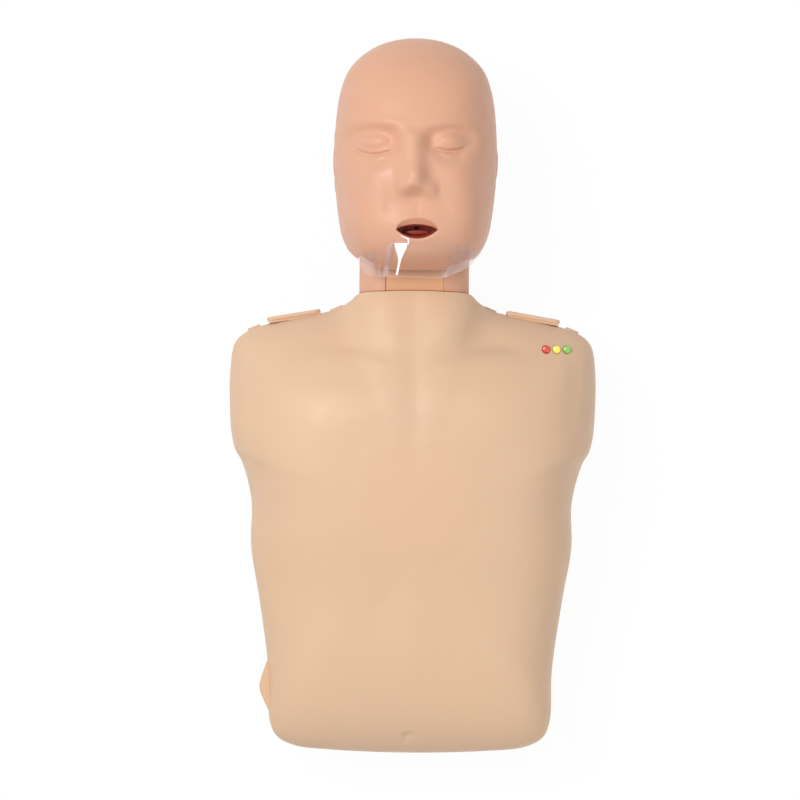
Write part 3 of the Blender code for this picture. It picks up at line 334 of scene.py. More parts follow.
def through_levels(y, levels):
    """A smooth height read between (level, height) pairs along Y."""
    ys = np.array([level for level, _ in levels])
    zs = np.array([height for _, height in levels])
    slopes = np.gradient(zs, ys)
    index = np.clip(np.searchsorted(ys, y) - 1, 0, len(ys) - 2)
    width = ys[index + 1] - ys[index]
    t = np.clip((y - ys[index]) / width, 0.0, 1.0)
    return (
        (2 * t**3 - 3 * t**2 + 1) * zs[index]
        + (t**3 - 2 * t**2 + t) * width * slopes[index]
        + (3 * t**2 - 2 * t**3) * zs[index + 1]
        + (t**3 - t**2) * width * slopes[index + 1]
    )


def bump(x, y, centre_x, centre_y, reach_x, reach_y):
    """A soft round swelling, 1 at its centre."""
    return np.exp(-(((x - centre_x) / reach_x) ** 2) - ((y - centre_y) / reach_y) ** 2)


def ease(value):
    """0 below 0, 1 above 1, with a smooth step between."""
    t = np.clip(value, 0.0, 1.0)
    return t * t * (3 - 2 * t)


def off_line(x, y, points):
    """Distance from a smooth line through points, the share of the way along it, and its left side."""
    line = through_points(points, 8, closed=False)
    steps = np.diff(line, axis=0)
    lengths = np.hypot(steps[:, 0], steps[:, 1])
    starts = np.concatenate(([0.0], np.cumsum(lengths)))
    nearest = np.full(x.shape, 1e9)
    share = np.zeros(x.shape)
    side = np.zeros(x.shape)
    for start, step, length, travelled in zip(line, steps, lengths, starts):
        dx, dy = x - start[0], y - start[1]
        t = np.clip((dx * step[0] + dy * step[1]) / length**2, 0.0, 1.0)
        distance = np.hypot(dx - t * step[0], dy - t * step[1])
        closer = distance < nearest
        nearest = np.where(closer, distance, nearest)
        share = np.where(closer, (travelled + t * length) / starts[-1], share)
        side = np.where(closer, np.sign(step[0] * dy - step[1] * dx), side)
    return nearest, share, side


def groove(x, y, points, left_reach, right_reach, fade=0.25):
    """A valley along a line, -1 at its bottom, fading out at both ends."""
    distance, share, side = off_line(x, y, points)
    reach = np.where(side > 0, left_reach, right_reach)
    ends = ease(share / fade) * ease((1 - share) / fade)
    return -np.exp(-((distance / reach) ** 2)) * ends


def swellings(x, y, rows):
    """The sum of soft bumps, each row a height, a centre's X and Y, and a reach in X and Y."""
    return sum(height * bump(x, y, *spot) for height, *spot in rows)


def grooves(x, y, rows):
    """The sum of valleys, each row a depth, a line, a reach to its left and right, and a fade."""
    return sum(depth * groove(x, y, *route) for depth, *route in rows)


# Grids bent to a disc


def disc_points(cells, power, corner_pull=0.0):
    """A square grid bent to a disc: share of the radius, and angle, closer set towards the edge."""
    a, b = np.meshgrid(np.linspace(-1, 1, cells + 1), np.linspace(-1, 1, cells + 1))
    u = a * np.sqrt(1 - b**2 / 2)
    v = b * np.sqrt(1 - a**2 / 2)
    share = np.clip(np.hypot(u, v), 0.0, 1.0)
    angle = np.arctan2(v, u)
    return 1 - (1 - share) ** power, angle + corner_pull * np.sin(4 * angle)


def numbered(x, start=0):
    """The indices of a grid's points, in rows, counted from start."""
    return start + np.arange(x.size).reshape(x.shape)


def grid_quads(index):
    corners = (index[:-1, :-1], index[:-1, 1:], index[1:, 1:], index[1:, :-1])
    return np.dstack(corners).reshape(-1, 4).tolist()


def grid_edge(index):
    """Indices round the edge of a grid, in order."""
    return np.concatenate((index[0, :-1], index[:-1, -1], index[-1, :0:-1], index[:0:-1, 0])).tolist()


def cup(name, outer, inner, base_z):
    """A thin-walled shell between an outer grid and one of half its cells, open at base_z."""
    vertices, faces, rims = [], [], []
    for grid in (outer, inner):
        index = numbered(grid[0], len(vertices))
        edge = grid_edge(index)
        vertices += list(zip(*(values.ravel() for values in grid)))
        rim = range(len(vertices), len(vertices) + len(edge))
        vertices += [(*vertices[point][:2], base_z) for point in edge]
        faces += grid_quads(index) + ring_faces(edge, rim)
        rims.append(rim)
    outer_rim, inner_rim = rims
    for step in range(len(inner_rim)):
        fan = [outer_rim[2 * step - shift] for shift in (2, 1, 0)]
        faces.append((*fan, inner_rim[step], inner_rim[step - 1]))
    return mesh_object(name, vertices, faces)


def slab(name, x, y, low, high):
    """A solid between two heights over one grid of places."""
    vertices = [point for z in (high, low) for point in zip(x.ravel(), y.ravel(), z.ravel())]
    upper, lower = numbered(x), numbered(x, x.size)
    faces = grid_quads(upper) + grid_quads(lower) + ring_faces(grid_edge(upper), grid_edge(lower))
    return mesh_object(name, vertices, faces)


def carried(made, look, body, slot, *nodes):
    """Gives a piece its look and its body, and hides the nodes that it stands for; slot is not used."""
    wear(made, look)
    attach(made, body)
    finished(made, slot, *nodes)


def wear(made, look):
    made.data.materials.clear()
    made.data.materials.append(look)


def finished(made, slot, *nodes):
    if nodes:
        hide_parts(*nodes)


def painted(made, name, values):
    """Keeps a value for each of a piece's points, which its material reads by name."""
    layer = made.data.attributes.new(name, "FLOAT", "POINT")
    layer.data.foreach_set("value", values.astype(np.float32))


# Materials


def feed(tree, value, socket):
    """Sets an input to a number or a colour, or joins it to another node's output."""
    if isinstance(value, bpy.types.NodeSocket):
        tree.links.new(value, socket)
    else:
        socket.default_value = (*value, 1.0) if isinstance(value, tuple) else value


def node(tree, kind, **values):
    made = tree.nodes.new(kind)
    for name, value in values.items():
        feed(tree, value, made.inputs[name.replace("_", " ")])
    return made


def maths(tree, operation, *values):
    """The outcome of one kind of sum over numbers or sockets."""
    made = tree.nodes.new("ShaderNodeMath")
    made.operation = operation
    for value, socket in zip(values, made.inputs):
        feed(tree, value, socket)
    return made.outputs[0]


def colour_mix(tree, factor, first, second):
    """A mix of two colours, each a value or a socket, by a factor of either kind."""
    mix = tree.nodes.new("ShaderNodeMix")
    mix.data_type = "RGBA"
    for value, index in ((factor, 0), (first, 6), (second, 7)):
        feed(tree, value, mix.inputs[index])
    return mix.outputs[2]


def own_place(tree, scale=None, shift=(0.0, 0.0, 0.0)):
    """A point's place on its own piece, scaled and shifted where a scale is given."""
    spot = tree.nodes.new("ShaderNodeTexCoord").outputs["Object"]
    if scale is None:
        return spot
    mapping = tree.nodes.new("ShaderNodeMapping")
    mapping.inputs["Location"].default_value = shift
    mapping.inputs["Scale"].default_value = scale
    tree.links.new(spot, mapping.inputs["Vector"])
    return mapping.outputs["Vector"]


def attribute(tree, name):
    """The value that painted() kept under a name."""
    made = tree.nodes.new("ShaderNodeAttribute")
    made.attribute_name = name
    return made.outputs["Fac"]


def noise(tree, scale, detail=3.0, roughness=0.5, stretch=(1.0, 1.0, 1.0)):
    """Noise over the piece's own place, in features of 1 / scale metres."""
    made = node(tree, "ShaderNodeTexNoise", Scale=scale, Detail=detail, Roughness=roughness)
    tree.links.new(own_place(tree, stretch), made.inputs["Vector"])
    return made.outputs["Fac"]


def spread(tree, value, from_low, from_high, to_low, to_high):
    """Maps a value from one range to another, held at its ends."""
    ends = {"From_Min": from_low, "From_Max": from_high, "To_Min": to_low, "To_Max": to_high}
    return node(tree, "ShaderNodeMapRange", Value=value, **ends).outputs["Result"]


def oval(tree, centre, reach, soft):
    """1 inside an oval in X and Y, 0 outside, with a soft and uneven edge."""
    scale = (1 / reach[0], 1 / reach[1], 0.0)
    shift = (-centre[0] / reach[0], -centre[1] / reach[1], 0.0)
    length = tree.nodes.new("ShaderNodeVectorMath")
    length.operation = "LENGTH"
    tree.links.new(own_place(tree, scale, shift), length.inputs[0])
    uneven = spread(tree, noise(tree, 40), 0.3, 0.7, -0.14, 0.14)
    return spread(tree, maths(tree, "ADD", length.outputs["Value"], uneven), 1 + soft, 1 - soft, 0.0, 1.0)


def principled(name):
    """A new material, its node tree and its shader."""
    made = bpy.data.materials.new(name)
    made.use_nodes = True
    return made, made.node_tree, made.node_tree.nodes["Principled BSDF"]


def set_inputs(shader, **values):
    for name, value in values.items():
        shader.inputs[name.replace("_", " ")].default_value = value


def plain_material(
    name, colour, roughness, metallic=0.0, grain=900, depth=0.00003, mottle=0.05, rough_spread=0.08
):
    """Moulded or machined matter: a colour that drifts a little, uneven gloss and a fine grain."""
    made, tree, shader = principled(name)
    set_inputs(shader, Metallic=metallic)
    dark = tuple(channel * (1 - mottle) for channel in colour)
    light = tuple(min(1.0, channel * (1 + mottle)) for channel in colour)
    drift = spread(tree, noise(tree, 22, 4), 0.3, 0.7, 0.0, 1.0)
    tree.links.new(colour_mix(tree, drift, dark, light), shader.inputs["Base Color"])
    gloss = spread(tree, noise(tree, 60), 0.3, 0.7, roughness - rough_spread, roughness + rough_spread)
    tree.links.new(gloss, shader.inputs["Roughness"])
    fine = node(tree, "ShaderNodeBump", Strength=1.0, Distance=depth, Height=noise(tree, grain, 2))
    tree.links.new(fine.outputs["Normal"], shader.inputs["Normal"])
    return made, tree, shader


# Painted shade: a dark reddish line on the neck and throat pad just below the collar's edge, standing in for
# the shade in the gap between them.
SHADE_LINE_Y = 0.0980
SHADE_LINE_SAG = 0.9
SHADE_LINE_SOFT = 0.0004
SHADE_LINE_STRENGTH = 0.85
SHADE_LINE_TONE = (0.30, 0.11, 0.05)


def painted_collar_shade(tree):
    """How much painted shade a place gets: a dark line standing in for the shade under the collar's edge,
    only below an arc across the front, whose ends hang with the square of X.
    """
    parts = tree.nodes.new("ShaderNodeSeparateXYZ")
    tree.links.new(own_place(tree), parts.inputs["Vector"])
    square = maths(tree, "MULTIPLY", parts.outputs["X"], parts.outputs["X"])
    bent = maths(tree, "MULTIPLY_ADD", square, SHADE_LINE_SAG, parts.outputs["Y"])
    return spread(tree, bent, SHADE_LINE_Y + SHADE_LINE_SOFT, SHADE_LINE_Y - SHADE_LINE_SOFT, 0.0, SHADE_LINE_STRENGTH)


def skin_material(name, base, warm, cool, roughness, patch=None, lip=None, collar_shade=False):
    """Soft satin vinyl: a base that drifts to a warmer and a cooler tone, faintly translucent, and on the
    neck pieces a painted shade below the collar's edge.
    """
    made, tree, shader = plain_material(name, base, roughness, grain=1400, depth=0.00002)
    drift = spread(tree, noise(tree, 9, 4, 0.55), 0.35, 0.65, 0.0, 1.0)
    cloud = spread(tree, noise(tree, 28), 0.25, 0.75, 0.2, 0.6)
    colour = colour_mix(tree, cloud, base, colour_mix(tree, drift, cool, warm))
    if patch:
        centre, reach, tone = patch
        strength = spread(tree, oval(tree, centre, reach, 0.22), 0.0, 1.0, 0.0, 0.6)
        colour = colour_mix(tree, strength, colour, tone)
    if lip:
        colour = colour_mix(tree, attribute(tree, "lip"), colour, lip)
    # Painted shade below the collar's edge, on the pieces that pass under it.
    if collar_shade:
        colour = colour_mix(tree, painted_collar_shade(tree), colour, SHADE_LINE_TONE)
    tree.links.new(colour, shader.inputs["Base Color"])
    set_inputs(shader, Subsurface_Weight=0.10, Subsurface_Radius=(1.0, 0.35, 0.18), Subsurface_Scale=0.004)
    set_inputs(shader, Specular_IOR_Level=0.34)
    return made


BODY_TONES = ((0.748, 0.506, 0.330), (0.768, 0.516, 0.326), (0.725, 0.492, 0.336))
HEAD_TONES = ((0.735, 0.398, 0.262), (0.750, 0.405, 0.258), (0.718, 0.398, 0.280))
THROAT_TONES = ((0.790, 0.430, 0.235), (0.800, 0.440, 0.235), (0.770, 0.410, 0.230))
WORN_PATCH = ((0.002, -0.092), (0.053, 0.055), (0.765, 0.494, 0.322))
LIP_TONE = (0.62, 0.285, 0.165)
PLAIN_LOOKS = {
    "mouth_red": ((0.42, 0.075, 0.045), 0.30, {"mottle": 0.18}),
    "grey_plastic": ((0.30, 0.31, 0.33), 0.5, {}),
    "white_plastic": ((0.78, 0.78, 0.76), 0.45, {"mottle": 0.02}),
    "black_rubber": ((0.03, 0.03, 0.03), 0.78, {"grain": 600, "depth": 0.00008}),
    "steel": ((0.62, 0.62, 0.61), 0.3, {"metallic": 1.0, "grain": 500, "mottle": 0.04}),
    "board_green": ((0.02, 0.18, 0.07), 0.42, {"mottle": 0.15}),
    "bag_white": ((0.80, 0.82, 0.85), 0.28, {"grain": 200, "depth": 0.0001}),
    "cell_wrap": ((0.07, 0.11, 0.18), 0.32, {"mottle": 0.08}),
}
LAMP_COLOURS = {"red": (0.68, 0.070, 0.050), "yellow": (0.92, 0.78, 0.10), "green": (0.25, 0.52, 0.10)}


def make_materials():
    looks = {
        "body_tan": skin_material("body_tan", *BODY_TONES, 0.46, patch=WORN_PATCH),
        "head_tan": skin_material("head_tan", *HEAD_TONES, 0.44, collar_shade=True),
        "face_tan": skin_material("face_tan", *HEAD_TONES, 0.44, lip=LIP_TONE),
        "throat_tan": skin_material("throat_tan", *THROAT_TONES, 0.5, collar_shade=True),
        "clear_film": film_material(),
    }
    for name, (colour, roughness, extras) in PLAIN_LOOKS.items():
        looks[name] = plain_material(name, colour, roughness, **extras)[0]
    for name, colour in LAMP_COLOURS.items():
        look, _, shader = plain_material(f"lamp_{name}", colour, 0.2, mottle=0.06, rough_spread=0.04)
        set_inputs(shader, Emission_Color=(*colour, 1.0), Emission_Strength=0.12)
        set_inputs(shader, Coat_Weight=0.5, Coat_Roughness=0.08)
        looks[f"lamp_{name}"] = look
    return looks


def film_material():
    """Clear film, with a painted value for how frosted it is, and a painted highlight that is white, nearly
    opaque and faintly glowing on the crease.
    """
    made, tree, shader = principled("clear_film")
    frosted, bright = attribute(tree, "frosted"), attribute(tree, "bright")
    # Painted highlight: the stroke and curl turn white and nearly opaque, standing in for a lamp's reflection
    # in the crease.
    tone = colour_mix(tree, bright, (0.80, 0.64, 0.62), (1.0, 1.0, 1.0))
    tree.links.new(tone, shader.inputs["Base Color"])
    streaks = spread(tree, noise(tree, 60, stretch=(3.0, 0.35, 1.0)), 0.3, 0.7, 0.55, 1.0)
    shown = maths(tree, "MAXIMUM", maths(tree, "MULTIPLY", frosted, streaks), bright)
    tree.links.new(spread(tree, shown, 0.0, 1.0, 0.04, 0.97), shader.inputs["Alpha"])
    tree.links.new(spread(tree, noise(tree, 120, 2), 0.3, 0.7, 0.06, 0.2), shader.inputs["Roughness"])
    # Painted highlight: the stroke also glows a little.
    tree.links.new(bright, shader.inputs["Emission Color"])
    set_inputs(shader, Emission_Strength=0.4)
    return made


# Torso

TORSO_SIDE = [
    (0.0, FOOT_Y),
    (HIP_HALF - 0.060, FOOT_Y + 0.0022),
    (HIP_HALF - 0.024, FOOT_Y + 0.0062),
    (HIP_HALF - 0.0075, FOOT_Y + 0.0150),
    (HIP_HALF - 0.0012, FOOT_Y + 0.0300),
    (WAIST_HALF, WAIST_Y),
    (WAIST_HALF + 0.0085, WAIST_Y + 0.062),
    (RIB_HALF, RIB_LOW_Y),
    (RIB_HALF, RIB_HIGH_Y),
    (RIB_HALF + 0.0094, ARM_STEP_Y - 0.0105),
    (SHOULDER_HALF - 0.0052, ARM_STEP_Y),
    (SHOULDER_HALF - 0.0015, ARM_STEP_Y + 0.0150),
    (SHOULDER_HALF, SHOULDER_LOW_Y),
    (SHOULDER_HALF, SHOULDER_HIGH_Y),
    (SHOULDER_HALF - 0.0045, SHOULDER_HIGH_Y + 0.024),
    SLOPE_OUT,
    (0.113, 0.0710),
    (COLLAR_HALF + 0.018, COLLAR_Y - 0.0170),
    (COLLAR_HALF + 0.004, COLLAR_Y - 0.0092),
    (COLLAR_HALF - 0.003, COLLAR_Y - 0.0030),
    (COLLAR_HALF - 0.0295, COLLAR_Y - 0.0006),
    (0.0, COLLAR_Y),
]
TORSO = Outline(TORSO_SIDE, TORSO_CENTRE_Y)
TORSO_LEVELS = [
    (FOOT_Y, 0.128),
    (WAIST_Y, 0.138),
    (-0.190, 0.145),
    (-0.130, 0.159),
    (PUSH_Y, 0.168),
    (0.000, 0.168),
    (0.050, 0.154),
    (0.080, COLLAR_Z + 0.0155),
    (COLLAR_Y, COLLAR_Z + 0.0175),
]
TORSO_CELLS = 200
# The latch dimple's X and Y, its radius and its depth
DIMPLE = (-0.0018, -0.3148, 0.0062, 0.0048)
# The breasts, alike on both sides, then the dip between them and the belly
HEIGHT_PAIRS = ((0.0045, 0.070, 0.000, 0.045, 0.040),)
HEIGHT_MIDDLE = ((-0.0015, 0.0, 0.000, 0.010, 0.060), (0.0030, 0.0, -0.215, 0.026, 0.060))

# Neck root and the roll under each collar bone, alike on both sides
RELIEF_PAIRS = ((0.0040, 0.036, 0.080, 0.030, 0.020), (0.0014, 0.060, 0.033, 0.042, 0.009))
# The neck's own cords and hollows, the notch between the bones and the belly's foot
RELIEF_SINGLES = (
    (0.0040, 0.028, 0.064, 0.020, 0.022),
    (0.0012, -0.020, 0.058, 0.010, 0.026),
    (-0.0028, 0.064, 0.058, 0.020, 0.012),
    (-0.0012, 0.0, 0.030, 0.010, 0.014),
    (0.0008, 0.0, -0.300, 0.090, 0.020),
)
COLLAR_BONE = ((0.004, 0.024), (0.026, 0.036), (0.050, 0.0440), (0.080, 0.0470), (0.116, 0.042))
ARM_FOLD = ((0.148, 0.052), (0.150, 0.020), (0.147, -0.012), (0.140, -0.040))
RIB_ARCH = ((0.006, -0.158), (0.018, -0.176), (0.034, -0.198), (0.054, -0.220))
LEFT_CREASE = ((-0.008, -0.160), (-0.017, -0.172), (-0.022, -0.186), (-0.031, -0.201))
RIGHT_CREASE = ((0.020, -0.150), (0.028, -0.162), (0.034, -0.178), (0.050, -0.205))
GROOVE_PAIRS = ((0.0026, ARM_FOLD, 0.006, 0.009, 0.3), (0.0009, RIB_ARCH, 0.009, 0.016, 0.45))
GROOVE_SINGLES = ((0.0004, LEFT_CREASE, 0.0020, 0.0034, 0.35), (0.0006, RIGHT_CREASE, 0.004, 0.009, 0.35))
BONE_DEPTH = 0.0045
BONE_UNEVEN = 0.0019
SIDE_DROP = 0.014
SHOULDER_DROP = 0.018
PRINT_CENTRE = (0.002, -0.092)
PRINT_HALF = 0.056
PRINT_HEIGHT = 0.0008


def torso_height(x, y):
    """Height of the front of the body over its back, away from the edges."""
    side_drop = SIDE_DROP + SHOULDER_DROP / (1 + np.exp(-(y + 0.02) / 0.03))
    height = through_levels(y, TORSO_LEVELS) - side_drop * (x / SHOULDER_HALF) ** 2
    return height + swellings(np.abs(x), y, HEIGHT_PAIRS) + swellings(x, y, HEIGHT_MIDDLE)


def torso_relief(x, y):
    """Neck root, collar bones, arm folds, rib arch and the print of the plate."""
    side = np.abs(x)
    bone_depth = BONE_DEPTH + BONE_UNEVEN * np.tanh(x / 0.01)
    relief = bone_depth * groove(side, y, COLLAR_BONE, 0.017, 0.0055, 0.42)
    relief += swellings(side, y, RELIEF_PAIRS) + swellings(x, y, RELIEF_SINGLES)
    relief += grooves(side, y, GROOVE_PAIRS) + grooves(x, y, GROOVE_SINGLES)
    across, down = (np.abs(value - middle) / PRINT_HALF for value, middle in zip((x, y), PRINT_CENTRE))
    return relief + PRINT_HEIGHT * ease((1.14 - (across**3 + down**3) ** (1 / 3)) / 0.30)


def dimple_depth(x, y):
    """The latch dimple near the foot, deeper towards its upper left."""
    centre_x, centre_y, radius, depth = DIMPLE
    ramp = np.clip(0.6 + 0.4 * (y - centre_y - x + centre_x) / radius, 0.1, 1.0)
    return depth * ramp * ease((radius - np.hypot(x - centre_x, y - centre_y)) / 0.0012)


def torso_front(x, y, depth):
    """Height of the torso's front, edges and all, moved in by depth from the skin's outside."""
    angle = np.arctan2(y - TORSO.centre_y, x)
    neckward = NECK_REACH * np.exp(-(((angle - pi / 2) / 0.26) ** 4))
    fall = np.hypot(x, y - TORSO.centre_y) / (TORSO.inset(angle, depth) + neckward)
    rim = SPLIT_Z + RIM_RISE
    dome = np.sqrt(np.clip(1 - fall**SKIN_FULLNESS, 0.0, 1.0))
    relief = torso_relief(x, y)
    if depth:
        relief = np.minimum(relief, 0.0) - 0.0020 * bump(np.abs(x), y, 0.066, 0.060, 0.040, 0.020)
    else:
        relief = relief - dimple_depth(x, y)
    return rim + (torso_height(x, y) + relief - depth - rim) * dome


def torso_surface(cells, depth):
    share, angle = disc_points(cells, power=1.35, corner_pull=0.10)
    radius = TORSO.inset(angle, depth)
    x = share * radius * np.cos(angle)
    y = TORSO.centre_y + share * radius * np.sin(angle)
    return x, y, torso_front(x, y, depth)


def neck_section(y, grow, half_depth=NECK_DEPTH / 2, corner=NECK_CORNER):
    section = rounded_rectangle(NECK_HALF + grow, half_depth + grow, corner + grow, 12)
    return [(x, y, NECK_CENTRE_Z + z) for x, z in section]


TAB_SIDE = [
    (-WAIST_HALF + 0.0015, WAIST_Y + 0.014),
    (-WAIST_HALF - 0.0030, WAIST_Y + 0.001),
    (-WAIST_HALF - 0.0070, WAIST_Y - 0.011),
    (-WAIST_HALF - 0.0080, WAIST_Y - 0.017),
    (-WAIST_HALF - 0.0068, WAIST_Y - 0.023),
    (-WAIST_HALF + 0.0010, WAIST_Y - 0.040),
]
# Height over the split, and inset of the outline there
TAB_LEVELS = ((0.001, 0.0008), (0.002, 0.0), (0.0105, 0.0), (0.012, 0.0012))


def make_skin(looks):
    outside, inside = torso_surface(TORSO_CELLS, 0.0), torso_surface(TORSO_CELLS // 2, SKIN_WALL)
    skin = cup("torso_skin", outside, inside, SPLIT_Z + GAP)
    grow = COLLAR_CLEARANCE + PANEL_PROUD
    ways = [lofted("collar_way", [neck_section(y, grow) for y in NECK_WAY_YS])]
    for colour in LAMP_COLOURS:
        low, high, middle = measured(f"led_lens_{colour}")
        ways.append(upright(f"hole_{colour}", (high.x - low.x) / 2 + GAP, middle, 0.085, 0.160))
    cut(skin, *ways)
    curve = through_points(TAB_SIDE, 8, closed=False)
    loops = [[(x + inset, y, SPLIT_Z + z) for x, y in curve] for z, inset in TAB_LEVELS]
    join(skin, lofted("waist_tab", loops))
    smooth(skin)
    wear(skin, looks["body_tan"])
    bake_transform(skin)
    finished(skin, "body_tan", "chest_skin")


# Back shell

FLOOR = 0.003
UNDER_Z = -0.001
RIM_INSET = 0.0062
LIP_Z = SPLIT_Z + 0.005
PAD_RADIUS = 0.054
PAD_TOP_Z = 0.008
NECK_SCREW_XS = (-0.028, 0.028)
NECK_SCREW_Y = 0.078
NECK_SEAT_Z = 0.008
NECK_POST_RADIUS = 0.008
CASE_POST_RADIUS = 0.003
CASE_POST_INSET = (0.004, 0.002)
BUTTON_HOLE_RADIUS = 0.0053
BAY_WALL = 0.0023
BAY_ROOF = 0.0020
CELL_CLEARANCE = (0.0012, 0.0015, 0.0016)
RIB_HALF_WALL = 0.0012
RIB_TOP_Z = 0.016
CROSS_RIB_YS = (-0.265, -0.200, 0.020)
CROSS_RIB_XS = (-0.175, 0.085)
LONG_RIB_XS = (-0.082, 0.0)
LONG_RIB_YS = (-0.300, -0.140)
LUG_XS = (0.071, 0.1474)
LUG_HALF = 0.00625
LUG_DROP = 0.00675
# Reach out from the slope, and share of the width there
LUG_REACHES = ((-0.004, 1.0), (0.0010, 1.0), (0.0017, 0.90))


def slope_point(x):
    """The point of the shoulder slope at x, as its Y."""
    curve = np.array(TORSO.loop(np.linspace(0, 2 * pi, 1440), 0.0, 0.0))
    upper = curve[curve[:, 1] > SHOULDER_LOW_Y]
    order = np.argsort(upper[:, 0])
    return float(np.interp(x, upper[order, 0], upper[order, 1]))


def slope_angle(x):
    return atan2(slope_point(x - 0.006) - slope_point(x + 0.006), 0.012)


def arc_profile(start, end, steps):
    """A quarter round between two (height, depth) pairs, bulging down and out."""
    turns = [pi / 2 * step / steps for step in range(steps + 1)]
    return [
        (start[0] + (end[0] - start[0]) * (1 - cos(turn)), start[1] + (end[1] - start[1]) * sin(turn))
        for turn in turns
    ]


def stepped_hole(name, spot, low, seat, top):
    """A screw's way: wide for its head up to the seat, and slim for its shank above."""
    profile = [(HEAD_HOLE, low), (HEAD_HOLE, seat), (SHANK_HOLE, seat), (SHANK_HOLE, top)]
    return over(turned(name, profile), spot)


def floor_solids():
    """The pad, posts, bay walls and ribs that stand on the floor of the back shell."""
    solids = [over(turned("pad", [(PAD_RADIUS, UNDER_Z), (PAD_RADIUS, PAD_TOP_Z)]), (0.0, PUSH_Y))]
    for x in NECK_SCREW_XS:
        solids.append(upright("neck_post", NECK_POST_RADIUS, (x, NECK_SCREW_Y), UNDER_Z, NECK_LOW_Z - GAP))
    low, high, _ = measured("monitor_case")
    inset_x, inset_y = CASE_POST_INSET
    for x in (low.x + inset_x, high.x - inset_x):
        for y in (low.y + inset_y, high.y - inset_y):
            solids.append(upright("case_post", CASE_POST_RADIUS, (x, y), UNDER_Z, low.z - GAP))
    low, high, _ = measured("battery_cover")
    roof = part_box("battery_1")[1].z + CELL_CLEARANCE[2] + BAY_ROOF
    solids.append(prism("bay_walls", rectangle(low, high, -BAY_WALL), (UNDER_Z, roof)))
    for y in CROSS_RIB_YS:
        corners = [(x, y + side * RIB_HALF_WALL) for x, side in zip(CROSS_RIB_XS, (-1, 1))]
        solids.append(prism("floor_rib", rectangle(*corners), (UNDER_Z, RIB_TOP_Z)))
    for x in LONG_RIB_XS:
        corners = [(x + side * RIB_HALF_WALL, y) for y, side in zip(LONG_RIB_YS, (-1, 1))]
        solids.append(prism("long_rib", rectangle(*corners), (UNDER_Z, RIB_TOP_Z)))
    return solids


def tray_cuts():
    """The neck's notch, the battery bay and the holes for screws and button."""
    cuts = [lofted("neck_notch", [neck_section(y, 2 * GAP) for y in NECK_WAY_YS])]
    low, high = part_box("battery_1")[0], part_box("battery_2")[1]
    spare = Vector(CELL_CLEARANCE)
    pocket_low = (low.x - spare.x, low.y - spare.y, UNDER_Z)
    cuts.append(block("bay_pocket", pocket_low, high + spare))
    low, high, middle = measured("battery_cover")
    recess = rounded_rectangle((high.x - low.x) / 2 + GAP, (high.y - low.y) / 2 + GAP, 0.003, 6, middle)
    cuts.append(prism("cover_recess", recess, (UNDER_Z, high.z + GAP)))
    cuts.append(upright("cover_screw_hole", SHANK_HOLE, measured("battery_cover_screw")[2], 0.0, 0.013))
    for x in NECK_SCREW_XS:
        cuts.append(stepped_hole("neck_screw_hole", (x, NECK_SCREW_Y), UNDER_Z, NECK_SEAT_Z, 0.060))
    for index in range(4):
        low, _, middle = measured(f"guide_screw_{index + 1}")
        cuts.append(upright("guide_pilot", SHANK_HOLE, middle, low.z - GAP, PAD_TOP_Z + 0.001))
    _, _, middle = measured("power_button")
    edge = slope_point(middle.x)
    start, end = ((middle.x, edge + reach, middle.z) for reach in (-0.018, 0.020))
    cuts.append(cylinder("button_hole", BUTTON_HOLE_RADIUS, start, end))
    return cuts


def make_lugs():
    """The four small lugs past the shoulder line."""
    section = rounded_rectangle(LUG_HALF, LUG_HALF, 0.0015, 4)
    lugs = []
    for sign in (-1, 1):
        for x in LUG_XS:
            loops = [
                [(u * share, reach, SPLIT_Z - LUG_DROP + v * share) for u, v in section]
                for reach, share in LUG_REACHES
            ]
            turn = Matrix.Rotation(-sign * slope_angle(x), 4, "Z")
            lugs.append(over(place(lofted("lug", loops), turn), (sign * x, slope_point(x))))
    return lugs


def make_tray(looks):
    angles = np.linspace(-pi, pi, 520, endpoint=False)
    outside = arc_profile((0.0, 0.020), (0.046, 0.0010), 12)
    outside += [(0.058, 0.0003), (SPLIT_Z - 0.0006, 0.0), (SPLIT_Z, 0.0006), (SPLIT_Z, RIM_INSET)]
    outside += [(LIP_Z - 0.0004, RIM_INSET), (LIP_Z, RIM_INSET + 0.0004)]
    inside = arc_profile((FLOOR, 0.022), (0.047, 0.0052), 10)
    inside += [(LIP_Z + 0.003, RIM_INSET + 0.0018)]
    shell, hollow = (
        lofted(name, [TORSO.loop(angles, depth, height) for height, depth in profile])
        for name, profile in (("torso_tray", outside), ("tray_hollow", inside))
    )
    cut(hollow, *floor_solids())
    cut(shell, hollow, *tray_cuts())
    join(shell, *make_lugs())
    smooth(shell)
    carried(shell, looks["body_tan"], "torso", "body_tan", "back_shell")


CLIP_X = SHOULDER_HALF - 0.0586
CLIP_WIDTH = 0.050
CLIP_THICK = 0.0036
CLIP_CORNER = 0.006
CLIP_LEAN = radians(2.5)
CLIP_CLEARANCE = 0.0004
CLIP_SEAT_INSET = 0.0012
CLIP_SEAT_REACH = 0.0022
# Reach out from the slope, and inset of the edge there
CLIP_CROWN = (
    (0.0, 0.0003),
    (0.0005, 0.0),
    (0.0022, 0.0),
    (0.0029, 0.0003),
    (0.0034, 0.0010),
    (CLIP_THICK, 0.0022),
)


def clip_place(sign):
    """Middle of a shoulder clip's inner face, and its turn about Z."""
    half = CLIP_WIDTH / 2
    tilt = atan2(slope_point(CLIP_X - half) - slope_point(CLIP_X + half), CLIP_WIDTH) - CLIP_LEAN
    outward = Vector((sin(tilt), cos(tilt), 0.0))
    places = [CLIP_X + half * quarter / 4 for quarter in range(-4, 5)]
    rise = max(outward.dot(Vector((x, slope_point(x), 0.0))) for x in places) + CLIP_CLEARANCE
    along_slope = Vector((cos(tilt), -sin(tilt), 0.0))
    middle = outward * rise + along_slope * along_slope.dot(Vector((CLIP_X, slope_point(CLIP_X), 0.0)))
    return Vector((sign * middle.x, middle.y, 0.0)), -sign * tilt


